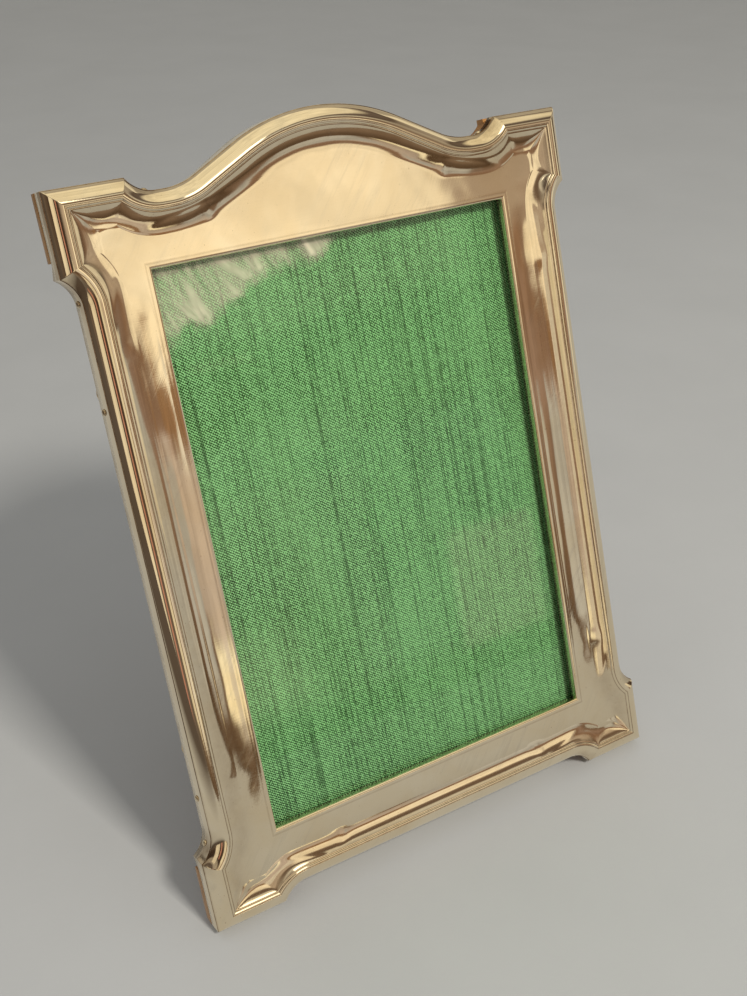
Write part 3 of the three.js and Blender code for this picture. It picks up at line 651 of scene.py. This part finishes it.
# Each painted reflection patch is its sides, its bottom and top in millimetres, and its strength
PANE_REFLECTION_PATCHES = [(14.5, 46.5, -47.5, -10, 0.05), (-53, -3, -48, 16, 0.012), (-46, -26, 44.5, 49.5, 0.05)]
REFLECTION_PATCH_EDGE = 4.0
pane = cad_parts["glass_pane"]
pane_finish = bpy.data.materials.new("drawn glass")
pane_finish.use_nodes = True
tree = pane_finish.node_tree
tree.nodes.clear()
wiped = speckle(tree, placed(tree, (LEAN, math.radians(35), 0), (1, 1, 0.25)), 70.0, 4.0, 0.6, 0.5)
haze = spread(tree, wiped, 0.35, 0.8, 0.01, 0.07)
mirror = add_node(tree, "BsdfAnisotropic", Color=(1, 1, 1, 1), Roughness=haze).outputs[0]
clear = add_node(tree, "BsdfTransparent", Color=GLASS_CLEAR).outputs[0]
spot = add_node(tree, "TexCoord").outputs["Object"]


def either(tree, share, first, second):
    """One shader or the other, by a share."""
    node = tree.nodes.new("ShaderNodeMixShader")
    for socket, given in zip(node.inputs, (share, first, second)):
        tree.links.new(given, socket)
    return node.outputs[0]


def along_way(tree, spot, way):
    """How far a place or a direction reaches along a way."""
    reach = add_node(tree, "VectorMath", {"operation": "DOT_PRODUCT"})
    tree.links.new(spot, reach.inputs[0])
    reach.inputs[1].default_value = way
    return reach.outputs["Value"]


middle = on_face(0, GLASS_MIDDLE, 0).dot(FACE_BACK)
outer_half = sums(tree, "GREATER_THAN", along_way(tree, spot, -FACE_BACK), -middle)
slant = sums(tree, "POWER", add_node(tree, "LayerWeight", Blend=0.5).outputs["Facing"], 5.0)
shine = times(tree, spread(tree, slant, 0.0, 1.0, GLASS_SHINE), outer_half)
bare = either(tree, shine, clear, mirror)
uneven = speckle(tree, placed(tree), 110.0, 3.0, 0.6)


def beyond_line(x, up, way, edge, lift=None):
    """None before a line across the pane and full beyond it, in the way given."""
    reach, start = along_way(tree, spot, way), on_face(x, GLASS_MIDDLE, up).dot(way)
    reach = plus(tree, reach, lift) if lift else reach
    return spread(tree, reach, start, start + edge * MM, kind="SMOOTHSTEP")


across = Vector((1, 0, 0))
# The dust film shows only beyond a straight slanting edge: a painted patch of light on the glass.
dust_light_way = FACE_UP * math.cos(DUST_LIGHT_SLOPE) - across * math.sin(DUST_LIGHT_SLOPE)
wander = times(tree, sums(tree, "SUBTRACT", uneven, 0.5), 0.014)
lit_dust_side = beyond_line(DUST_LIGHT_LINE_X, DUST_LIGHT_LINE_Z, dust_light_way, DUST_LIGHT_EDGE, wander)
swept_off = speckle(tree, placed(tree, (LEAN, math.radians(28), 0), (1, 1, 0.2)), 170.0, 4.0, 0.6, 0.6)
strokes = greys(tree, swept_off, (0.36, 0.1), (0.5, 0.32), (0.66, 0.66))
film = times(tree, lit_dust_side, strokes)
# Pale painted reflections: soft-edged rectangles added to the film.
for left, right, low, high, strength in PANE_REFLECTION_PATCHES:
    reflection_patch = beyond_line(left, 0, across, REFLECTION_PATCH_EDGE)
    for x, up, way in ((right, 0, -across), (0, low, FACE_UP), (0, high, -FACE_UP)):
        reflection_patch = times(tree, reflection_patch, beyond_line(x, up, way, REFLECTION_PATCH_EDGE))
    film = sums(tree, "MAXIMUM", film, times(tree, reflection_patch, strength))
# One diffuse sheet carries the dust with its painted light, and the painted reflections.
dust_light_and_reflection = add_node(tree, "BsdfDiffuse", Color=GLASS_DUST_LIGHT_AND_REFLECTION).outputs[0]
seen = either(tree, times(tree, film, outer_half), bare, dust_light_and_reflection)
tree.links.new(seen, tree.nodes.new("ShaderNodeOutputMaterial").inputs[0])
pane.data.materials.clear()
pane.data.materials.append(pane_finish)

# Silk panel
# A panel of green slubbed silk, cut to the rebate and stretched flat over the card to fill the sight
# until a picture is put in. Twill weave, with thick and thin threads running up the cloth.
SILK_W, SILK_L = 101.6, 152.4
SILK_FRONT, SILK_THICK = 5.14, 0.2
SLUB = 0.035
SILK_GREEN = (0.080, 0.226, 0.070, 1)
SILK_PALE = (0.29, 0.60, 0.26, 1)
SILK_DEEP = (0.003, 0.032, 0.004, 1)
SILK_COLUMNS, SILK_LINES = 170, 120


def cloth_quads(lines, columns):
    """The faces of a thin cloth, front, back and edges, over two grids of places."""
    wide, size = columns + 1, (lines + 1) * (columns + 1)
    quads = []
    for r in range(lines):
        for a in range(r * wide, r * wide + columns):
            b, d, e = a + 1, a + wide, a + wide + 1
            quads += [(a, b, e, d), (size + a, size + d, size + e, size + b)]
        for a in (r * wide, r * wide + columns):
            quads.append((a, a + wide, size + a + wide, size + a))
    for c in range(columns):
        for a in (c, lines * wide + c):
            quads.append((a, a + 1, size + a + 1, size + a))
    return quads


cloth_places = []
for layer in (0, 1):
    for r in range(SILK_LINES + 1):
        for c in range(SILK_COLUMNS + 1):
            x, z = SILK_W * (c / SILK_COLUMNS - 0.5), SILK_L * (r / SILK_LINES - 0.5)
            thread = noise.noise(Vector((x * 1.9, z * 0.035, 5.0)))
            thread *= noise.noise(Vector((x * 0.3, z * 0.05, 1.0)))
            depth = SILK_FRONT + SILK_THICK * layer + (SLUB * thread if layer == 0 else 0)
            cloth_places.append(on_face(x, depth, z))
cloth = closed_mesh("silk_cloth", cloth_places, cloth_quads(SILK_LINES, SILK_COLUMNS))
cloth.set_sharp_from_angle(angle=math.radians(50))
silk_cloth = add_piece("silk_cloth", cloth)
silk_finish, tree, shader = new_finish("slubbed silk")


def diagonal(turn):
    slanted = placed(tree, (LEAN, math.radians(turn), 0))
    return add_node(tree, "TexWave", {"wave_type": "BANDS", "bands_direction": "X"}, Vector=slanted,
                    Scale=545.0, Distortion=1.6, Detail=1.0, Detail_Scale=4.0).outputs["Fac"]


def shared(*parts):
    """The sum of some values, each times its own share."""
    total = None
    for value, share in parts:
        part = times(tree, value, share)
        total = plus(tree, total, part) if total else part
    return total


floats = add_node(tree, "VectorMath", {"operation": "SNAP"})
tree.links.new(placed(tree, (LEAN, math.radians(52), 0), (1, 0, 1)), floats.inputs[0])
floats.inputs[1].default_value = (0.00032, 1, 0.00045)
floats = add_node(tree, "TexWhiteNoise", Vector=floats.outputs[0]).outputs["Value"]
picks = speckle(tree, placed(tree), 2000.0, 1.0, 0.6)
weave = shared((diagonal(52), 0.33), (diagonal(-38), 0.23), (floats, 0.16), (picks, 0.28))
ground = ramp(tree, weave, [(0.42, SILK_DEEP), (0.5, SILK_GREEN), (0.57, SILK_PALE)])
slubs = speckle(tree, placed(tree, scale=(1, 1, 0.0035)), 3000.0, 0.0, 0.5)
slubs = greys(tree, slubs, (0.57, 0), (0.62, 1))
broken = greys(tree, speckle(tree, placed(tree), 330.0, 2.0), (0.4, 0.4), (0.58, 1))
thick = times(tree, slubs, broken)
fade = greys(tree, speckle(tree, placed(tree, scale=(1, 1, 0.6)), 60.0, 3.0), (0.35, 0), (0.75, 0.2))
ground = mixed(tree, fade, ground, SILK_PALE)
tone = mixed(tree, times(tree, thick, 0.62), ground, SILK_DEEP)
set_inputs(tree, shader, Base_Color=tone, Roughness=spread(tree, weave, 0.38, 0.62, 0.7, 0.55),
           Sheen_Weight=0.05, Sheen_Roughness=0.4, Specular_IOR_Level=0.2)
relief(tree, shader, sums(tree, "SUBTRACT", weave, thick), 0.35, 0.00012)
silk_cloth.data.materials.append(silk_finish)
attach(silk_cloth, "frame")
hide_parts("silk_panel")

# Mount card
# Cream pulp board, guillotined to the size of the rebate, that keeps the silk flat behind the glass.
# Only its edge can be seen, when the back board is out.
CARD_CREAM, CARD_FAWN = (0.66, 0.60, 0.47, 1), (0.44, 0.36, 0.25, 1)
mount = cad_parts["mount_card"]
card_finish, tree, shader = new_finish("pulp board")
pulp = speckle(tree, placed(tree), 900.0, 5.0, 0.7)
foxed = greys(tree, speckle(tree, placed(tree), 60.0, 4.0), (0.5, 0), (0.8, 0.7))
tone = mixed(tree, foxed, ramp(tree, pulp, [(0.3, CARD_FAWN), (0.55, CARD_CREAM)]), CARD_FAWN)
set_inputs(tree, shader, Base_Color=tone, Roughness=spread(tree, pulp, 0.3, 0.7, 0.95, 0.8))
relief(tree, shader, pulp, 0.3, 0.00008)
mount.data.materials.clear()
mount.data.materials.append(card_finish)

# Back board
# A thin oak board dropped into the rebate, its grain upright, planed and waxed a shade darker than the
# frame. The turn-buttons hold it in, and the strut is hinged to it.
BOARD_GOLD = (0.36, 0.175, 0.06, 1)
BOARD_AMBER = (0.215, 0.092, 0.03, 1)
BOARD_EASE = 0.25 * MM
back_panel = eased_copy("back_board", "back_panel", BOARD_EASE)
back_panel.data.materials.append(oak_finish("board oak", LEAN, BOARD_GOLD, BOARD_AMBER, OAK_UMBER, wax=0.4))
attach(back_panel, "frame")
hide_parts("back_board")

# Turn-buttons
# Four stamped brass buttons, rounded at both ends, that turn on their screws over the edge of the back
# board. Each has its edge rubbed over and its face brushed.
BRASS_BRIGHT = (0.80, 0.57, 0.24, 1)
BRASS_BROWN = (0.26, 0.14, 0.045, 1)
BUTTON_EASE, BUTTON_EASE_STEPS = 0.3 * MM, 3
brass = brass_finish("worn brass", BRASS_BRIGHT, BRASS_BROWN, share=0.65, dull=0.2)
for k in range(1, 5):
    button = eased_copy(f"turn_button_{k}", f"button_plate_{k}", BUTTON_EASE, BUTTON_EASE_STEPS)
    button.data.materials.append(brass)
    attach(button, f"button_{k}")
    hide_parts(f"turn_button_{k}")

# Button screws
# One round-headed slotted brass screw through the middle of each turn-button, driven into the oak just
# far enough that the button can be turned with a thumb.
BUTTON_X, BUTTON_UP = 56.3, 45.72
BUTTON_SEAT = 10.6
SCREW_HEAD_R, SCREW_HEAD_H, SCREW_R, SCREW_L, SCREW_SLOT = 2.4, 1.1, 0.8, 5.5, 0.55
screw_tree = fastener_tree("round-headed screws", True, brass)
screw_places = [on_face(x, BUTTON_SEAT, z) for z in (BUTTON_UP, -BUTTON_UP) for x in (-BUTTON_X, BUTTON_X)]
button_screws = set_fasteners("button_screws", screw_tree, screw_places, [FACE_BACK] * 4, SCREW_HEAD_R,
                              SCREW_HEAD_H, SCREW_R, SCREW_L, SCREW_SLOT)
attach(button_screws, "frame")
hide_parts(*[f"button_screw_{k}" for k in range(1, 5)])

# Hinge
# A small brass butt hinge: two leaves with rolled knuckles on one brass pin. One leaf is
# screwed to the back board above the pin, and the other to the face of the strut below it.
LEAF_EASE = 0.15 * MM
for node, name, body in (("hinge_leaf_board", "hinge_plate_board", "frame"),
                         ("hinge_pin", "hinge_rod", "frame"),
                         ("hinge_leaf_strut", "hinge_plate_strut", "strut")):
    leaf = eased_copy(node, name, LEAF_EASE)
    leaf.data.materials.append(brass)
    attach(leaf, body)
    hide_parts(node)

# Hinge screws
# Two slotted countersunk brass screws in each leaf, with low raised heads that cover the countersinks.
# One pair is driven into the back board, and the other into the front of the strut.
PIN_LINE_DEPTH, HINGE_UP = 11.1, 32.0
LEAF_SCREW_X, LEAF_SCREW_OUT = 7.5, 9.15
BOARD_LEAF, STRUT_LEAF = 10.0, 9.2
LEAF_HEAD_R, LEAF_SCREW_L, LEAF_SLOT = 1.95, 2.5, 0.5
BOARD_HEAD_H, STRUT_HEAD_H = 0.3, 0.15
STRUT_OPEN = math.radians(35)


def on_strut(x, depth, up):
    """A place on the open strut, from where it is when the strut is folded flat."""
    back, rise = depth - PIN_LINE_DEPTH, up - HINGE_UP
    return on_face(x, PIN_LINE_DEPTH + back * math.cos(STRUT_OPEN) - rise * math.sin(STRUT_OPEN),
                   HINGE_UP + back * math.sin(STRUT_OPEN) + rise * math.cos(STRUT_OPEN))


STRUT_BACK = FACE_BACK * math.cos(STRUT_OPEN) + FACE_UP * math.sin(STRUT_OPEN)
flush = [on_face(x, BOARD_LEAF, HINGE_UP + LEAF_SCREW_OUT) for x in (-LEAF_SCREW_X, LEAF_SCREW_X)]
board_screws = set_fasteners("hinge_screws_board", screw_tree, flush, [FACE_BACK] * 2, LEAF_HEAD_R,
                             BOARD_HEAD_H, SCREW_R, LEAF_SCREW_L, LEAF_SLOT)
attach(board_screws, "frame")
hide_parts("hinge_screw_1", "hinge_screw_2")
flush = [on_strut(x, STRUT_LEAF, HINGE_UP - LEAF_SCREW_OUT) for x in (-LEAF_SCREW_X, LEAF_SCREW_X)]
strut_screws = set_fasteners("hinge_screws_strut", screw_tree, flush, [-STRUT_BACK] * 2, LEAF_HEAD_R,
                             STRUT_HEAD_H, SCREW_R, LEAF_SCREW_L, LEAF_SLOT)
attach(strut_screws, "strut")
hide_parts("hinge_screw_3", "hinge_screw_4")

# Strut
# The easel leg: a tapered oak board, wider at the foot, with a slot for the stay and its foot planed to
# stand flat on the table. It is stained and waxed as the frame is.
strut_board = eased_copy("strut", "strut_board", OAK_EASE)
strut_finish = oak_finish("strut oak", LEAN - STRUT_OPEN, OAK_GOLD, OAK_AMBER, OAK_UMBER, wax=0.38)
strut_board.data.materials.append(strut_finish)
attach(strut_board, "strut")
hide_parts("strut")

# Stay ribbon
# A length of brown grosgrain ribbon that stops the strut from sliding out: tacked to the back board,
# carried through the slot in the strut, turned down and tacked to the strut's back.
RIBBON_W, RIBBON_T = 10.0, 0.32
RIBBON_TAB, RIBBON_UP, SLOT_UP = 9.0, -40.0, -50.0
BOARD_BACK, STRUT_FRONT, STRUT_REAR = 8.8, 10.4, 14.4
RIB_PITCH, RIB_HIGH = 0.62, 0.07
RIBBON_BROWN = (0.125, 0.058, 0.028, 1)
RIBBON_DARK = (0.045, 0.02, 0.011, 1)
BEND_TURN = math.radians(30)
RIBBON_OFF = 0.45


def about_pin(depth, up):
    """Distance from the hinge's pin, and the angle from straight down the face."""
    back, down = depth - PIN_LINE_DEPTH, HINGE_UP - up
    return math.hypot(back, down), math.atan2(back, down)


def at_turn(reach, angle):
    return PIN_LINE_DEPTH + reach * math.sin(angle), HINGE_UP - reach * math.cos(angle)


def opened(depth, up):
    reach, angle = about_pin(depth, up)
    return at_turn(reach, angle + STRUT_OPEN)


leaves = (BOARD_BACK + RIBBON_OFF, RIBBON_UP - RIBBON_TAB / 2)
enters = (STRUT_FRONT - 0.3, SLOT_UP)
near_reach, near_angle = about_pin(*leaves)
far_reach, far_angle = about_pin(*enters)
start_share = near_reach * math.cos(near_angle - BEND_TURN)
rear_reach, rear_angle = about_pin(STRUT_REAR + RIBBON_OFF, SLOT_UP)
end_share = min(far_reach * math.cos(far_angle + STRUT_OPEN - BEND_TURN),
                rear_reach * math.cos(rear_angle + STRUT_OPEN - BEND_TURN)) - 0.05
route = [(BOARD_BACK + RIBBON_OFF, RIBBON_UP + RIBBON_TAB / 2), (BOARD_BACK + RIBBON_OFF, RIBBON_UP)]
for k in range(0, 41):
    t = k / 40
    angle = near_angle + (far_angle - near_angle) * t + STRUT_OPEN * t * t * (3 - 2 * t)
    route.append(at_turn((start_share + (end_share - start_share) * t) / math.cos(angle - BEND_TURN), angle))
route += [opened(STRUT_FRONT + 1.5, SLOT_UP), opened(STRUT_REAR - 0.4, SLOT_UP),
          opened(STRUT_REAR + 0.7 * RIBBON_OFF, SLOT_UP - 0.25),
          opened(STRUT_REAR + RIBBON_OFF, SLOT_UP - 0.9),
          opened(STRUT_REAR + RIBBON_OFF, SLOT_UP - RIBBON_TAB - 1)]
lengths = [0.0]
for one, two in zip(route, route[1:]):
    lengths.append(lengths[-1] + math.dist(one, two))
ribbon_length = lengths[-1]
steps = round(ribbon_length / RIB_PITCH * 4)
line = []
for k in range(steps + 1):
    want, i = ribbon_length * k / steps, 0
    while i < len(lengths) - 2 and lengths[i + 1] < want:
        i += 1
    share = (want - lengths[i]) / (lengths[i + 1] - lengths[i])
    line.append(tuple(p + (q - p) * share for p, q in zip(route[i], route[i + 1])))
for _ in range(3):
    line = [line[0]] + [tuple(0.25 * a + 0.5 * b + 0.25 * c for a, b, c in zip(*three))
                        for three in zip(line, line[1:], line[2:])] + [line[-1]]
widths = [-0.5, -0.485, -0.46] + [-0.42 + 0.12 * k for k in range(8)] + [0.46, 0.485, 0.5]
tape_places = []
for face in (1, -1):
    for k, place in enumerate(line):
        before, after = line[max(k - 1, 0)], line[min(k + 1, steps)]
        run = Vector((after[0] - before[0], after[1] - before[1])).normalized()
        wave = math.cos(2 * math.pi * ribbon_length * k / steps / RIB_PITCH)
        rib = 0.5 * RIBBON_T - RIB_HIGH * (0.5 - 0.5 * wave)
        for w in widths:
            edge = rib if abs(w) < 0.47 else 0.5 * RIBBON_T
            depth, up = place[0] - face * run[1] * edge, place[1] + face * run[0] * edge
            tape_places.append(on_face(w * RIBBON_W, depth, up))
tape = closed_mesh("ribbon_tape", tape_places, cloth_quads(steps, len(widths) - 1))
tape.set_sharp_from_angle(angle=math.radians(60))
ribbon_tape = add_piece("ribbon_tape", tape)
ribbon_finish, tree, shader = new_finish("grosgrain ribbon")
threads = speckle(tree, placed(tree, scale=(0.12, 1, 1)), 2600.0, 2.0, 0.6)
worn = speckle(tree, placed(tree), 190.0, 3.0)
tone = mixed(tree, greys(tree, worn, (0.35, 0), (0.75, 0.6)),
             ramp(tree, threads, [(0.3, RIBBON_DARK), (0.65, RIBBON_BROWN)]), RIBBON_BROWN)
set_inputs(tree, shader, Base_Color=tone, Roughness=spread(tree, threads, 0.3, 0.7, 0.75, 0.55),
           Sheen_Weight=0.2)
relief(tree, shader, threads, 0.3, 0.00006)
ribbon_tape.data.materials.append(ribbon_finish)
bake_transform(ribbon_tape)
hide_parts("stay_ribbon")

# Stay tacks
# A round-headed brass tack through each end of the ribbon, one into the board and one into the strut.
# Each is hammered home, so that its head holds the ribbon flat.
TACK_HEAD_R, TACK_HEAD_H, TACK_R, TACK_L = 1.9, 0.75, 0.6, 2.2
TACK_SEAT, TACK_DOWN = 0.75, 1.2
tack_tree = fastener_tree("ribbon tacks", False, brass)
tack_place = on_face(0, BOARD_BACK + TACK_SEAT, RIBBON_UP)
board_tack = set_fasteners("ribbon_tack_board", tack_tree, [tack_place], [FACE_BACK], TACK_HEAD_R,
                           TACK_HEAD_H, TACK_R, TACK_L)
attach(board_tack, "frame")
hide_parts("stay_tack_board")
tack_place = on_strut(0, STRUT_REAR + TACK_SEAT, SLOT_UP - RIBBON_TAB / 2 - TACK_DOWN)
strut_tack = set_fasteners("ribbon_tack_strut", tack_tree, [tack_place], [STRUT_BACK], TACK_HEAD_R,
                           TACK_HEAD_H, TACK_R, TACK_L)
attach(strut_tack, "strut")
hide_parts("stay_tack_strut")

# Table and light
# A plain pale table top under even studio light, with one soft lamp high before the frame. What is
# polished is given a warm brown room to show, with pale screens stood about in it. In polished surfaces
# the table near the frame is a glowing painted reflection, with a painted shadow darker to its left.
TABLE_PALE = (0.45, 0.46, 0.465, 1)
TABLE_GREY = (0.40, 0.41, 0.415, 1)
TABLE_PAINTED_REFLECTION, TABLE_PAINTED_SHADOW = (0.44, 0.41, 0.34, 1), (0.10, 0.075, 0.055, 1)
TABLE_FRONT, TABLE_PAINTED_SHADOW_END, TABLE_PAINTED_REFLECTION_START = 0.36, -0.24, -0.15
TABLE_R, TABLE_SIDES = 6, 96
STUDIO = (0.50, 0.50, 0.49, 1)
FRONT_SIDE = math.radians(20)
# Each stop of a wall is its rise in degrees and its colour
FRONT_WALL = [(-20, (0.24, 0.16, 0.10)), (-6, (0.12, 0.072, 0.038)), (0, (0.27, 0.17, 0.105)),
              (6, (0.34, 0.22, 0.15)), (11, (0.28, 0.16, 0.09)), (15, (0.54, 0.41, 0.285)),
              (24, (0.54, 0.42, 0.295)), (28, (0.20, 0.13, 0.08)), (34, (0.17, 0.11, 0.07)),
              (36, (0.80, 0.71, 0.52)), (44, (0.86, 0.78, 0.59)), (47, (0.34, 0.26, 0.18)),
              (52, (0.34, 0.27, 0.19)), (55, (1.0, 0.86, 0.57)), (90, (0.95, 0.82, 0.54))]
SIDE_WALL = [(-20, (0.20, 0.17, 0.13)), (0, (0.15, 0.105, 0.07)), (8, (0.075, 0.046, 0.028)),
             (24, (0.055, 0.034, 0.022)), (27, (0.40, 0.33, 0.23)), (37, (0.42, 0.35, 0.26)),
             (41, (0.12, 0.085, 0.06)), (48, (0.16, 0.12, 0.09)), (53, (0.95, 0.82, 0.55)),
             (90, (0.95, 0.82, 0.54))]
# Each screen is its side, its rise, its half width and half height in degrees, and its colour
SCREENS = [(5, 6, 9, 10, (0.80, 0.70, 0.53)), (-17, 7, 7, 11, (0.86, 0.73, 0.48)),
           (21, 19, 12, 6, (1.12, 0.95, 0.655)), (16, 11, 6, 2, (0.33, 0.18, 0.085)),
           (15, 4.5, 11, 4, (0.62, 0.50, 0.39)), (15, -1.9, 5, 1.9, (1.1, 0.96, 0.64)),
           (27.5, 1.5, 5, 5.5, (0.54, 0.51, 0.44)), (57, -2, 16, 6, (0.56, 0.52, 0.43)),
           (72, 12, 7, 22, (0.80, 0.70, 0.50)), (112, 16, 10, 26, (0.90, 0.80, 0.58)),
           (-42, 6, 3, 16, (0.55, 0.25, 0.16)), (-62, 12, 10, 24, (0.86, 0.73, 0.50)),
           (-158, 12, 14, 22, (0.60, 0.54, 0.42)), (172, 38, 45, 18, (0.46, 0.39, 0.28)),
           (12, 46, 7, 6, (3.2, 2.8, 2.1))]
SCREEN_FADE_OUT, SCREEN_FADE_IN = 0.016, 0.014
LAMP_PLACE, LAMP_AIM = Vector((0.193, -0.907, 1.085)), Vector((0, 0, 0.09))
LAMP_SIZE, LAMP_WATTS, LAMP_WARM = 0.22, 15.0, (1.0, 0.94, 0.84)
table_mesh = bpy.data.meshes.new("table_top")
turns = [k * math.tau / TABLE_SIDES for k in range(TABLE_SIDES)]
around = [(TABLE_R * math.cos(turn), TABLE_R * math.sin(turn), 0) for turn in turns]
table_mesh.from_pydata(around, [], [tuple(range(TABLE_SIDES))])
table_top = add_piece("table_top", table_mesh)
table_finish, tree, shader = new_finish("painted table")
cloudy = speckle(tree, placed(tree, (0, 0, 0)), 14.0, 4.0, 0.6)
grain = speckle(tree, placed(tree, (0, 0, 0)), 700.0, 2.0)
set_inputs(tree, shader, Base_Color=mixed(tree, cloudy, TABLE_PALE, TABLE_GREY), Roughness=0.6)
relief(tree, shader, grain, 0.15, 0.0002)
mirrored = add_node(tree, "LightPath").outputs["Is Glossy Ray"]
spot = add_node(tree, "SeparateXYZ", Vector=add_node(tree, "TexCoord").outputs["Object"]).outputs
# Glossy rays see the table as a glow: a painted reflection, dark to the left as a painted shadow.
past_edge = times(tree, mirrored, sums(tree, "LESS_THAN", spot["Y"], -TABLE_FRONT))
painted_reflection_tone = mixed(tree, spread(tree, spot["X"], TABLE_PAINTED_SHADOW_END, TABLE_PAINTED_REFLECTION_START), TABLE_PAINTED_SHADOW, TABLE_PAINTED_REFLECTION)
painted_reflection_glow = add_node(tree, "Emission", Color=painted_reflection_tone, Strength=1.0).outputs[0]
near_table = either(tree, mirrored, shader.outputs[0], painted_reflection_glow)
seen = either(tree, past_edge, near_table, add_node(tree, "BsdfTransparent").outputs[0])
tree.links.new(seen, next(n for n in tree.nodes if n.type == "OUTPUT_MATERIAL").inputs[0])
table_mesh.materials.append(table_finish)

room = bpy.data.worlds.new("warm room")
bpy.context.scene.world = room
room.use_nodes = True
tree = room.node_tree
tree.nodes.clear()
looking = add_node(tree, "TexCoord").outputs["Generated"]
height = add_node(tree, "SeparateXYZ", Vector=looking).outputs["Z"]
raised = spread(tree, height, -1.0, 1.0)


def by_rise(stops):
    """A wall's colours from the rise in degrees at which each one stands."""
    return ramp(tree, raised, [(0.5 + 0.5 * math.sin(math.radians(rise)), colour) for rise, colour in stops])


front = along_way(tree, looking, (math.sin(FRONT_SIDE), -math.cos(FRONT_SIDE), 0))
facing = spread(tree, front, 0.6, 0.85, kind="SMOOTHSTEP")
walls = mixed(tree, facing, by_rise(SIDE_WALL), by_rise(FRONT_WALL))
for turn, rise, half_wide, half_high, colour in SCREENS:
    turn, rise = math.radians(turn), math.radians(rise)
    level = Vector((math.cos(turn), math.sin(turn), 0))
    middle = Vector((math.sin(turn) * math.cos(rise), -math.cos(turn) * math.cos(rise), math.sin(rise)))
    screen = sums(tree, "GREATER_THAN", along_way(tree, looking, middle), 0.0)
    for axis, half in ((level, half_wide), (middle.cross(level), half_high)):
        reach = math.sin(math.radians(half))
        off = sums(tree, "ABSOLUTE", along_way(tree, looking, axis), 0.0)
        edge = spread(tree, off, reach + SCREEN_FADE_OUT, reach - SCREEN_FADE_IN, kind="SMOOTHSTEP")
        screen = times(tree, screen, edge)
    walls = mixed(tree, screen, walls, (*colour, 1))
cloudy = greys(tree, speckle(tree, looking, 8.0, 3.0, 0.55, 0.5), (0.34, 0.74), (0.62, 1))
walls = mixed(tree, 1.0, walls, cloudy, "MULTIPLY")
mirrored = add_node(tree, "LightPath").outputs["Is Glossy Ray"]
sky = add_node(tree, "Background", Color=mixed(tree, mirrored, STUDIO, walls), Strength=1.0)
tree.links.new(sky.outputs[0], tree.nodes.new("ShaderNodeOutputWorld").inputs[0])

lamp = bpy.data.lights.new("high lamp", "AREA")
lamp.shape, lamp.size, lamp.size_y = "RECTANGLE", LAMP_SIZE, LAMP_SIZE
lamp.energy, lamp.color = LAMP_WATTS, LAMP_WARM
held = add_piece("high lamp", lamp)
held.location = LAMP_PLACE
held.rotation_euler = (LAMP_AIM - LAMP_PLACE).to_track_quat("-Z", "Y").to_euler()
held.visible_glossy = False

# Camera
# Where the photograph was taken from: above the frame and to its left, turned down to it, with the
# lens worked out from the corners of the sight edge and of the ears.
PHOTO_HEIGHT, FOCAL_PIXELS = 996, 1207.0
FROM_FACE = Vector((-0.13667, -0.22509, 0.16695))
CAMERA_TURN = (58.2295, 0.3197, -30.4582)
viewer = bpy.data.cameras.new("camera")
viewer.sensor_fit, viewer.sensor_height = "VERTICAL", 24.0
viewer.lens = viewer.sensor_height * FOCAL_PIXELS / PHOTO_HEIGHT
viewer.clip_start = 0.01
camera = add_piece("camera", viewer)
camera.location = FACE_ORIGIN + FROM_FACE
camera.rotation_euler = Euler([math.radians(turn) for turn in CAMERA_TURN])
bpy.context.scene.camera = camera
bpy.context.scene.view_settings.view_transform = "Standard"
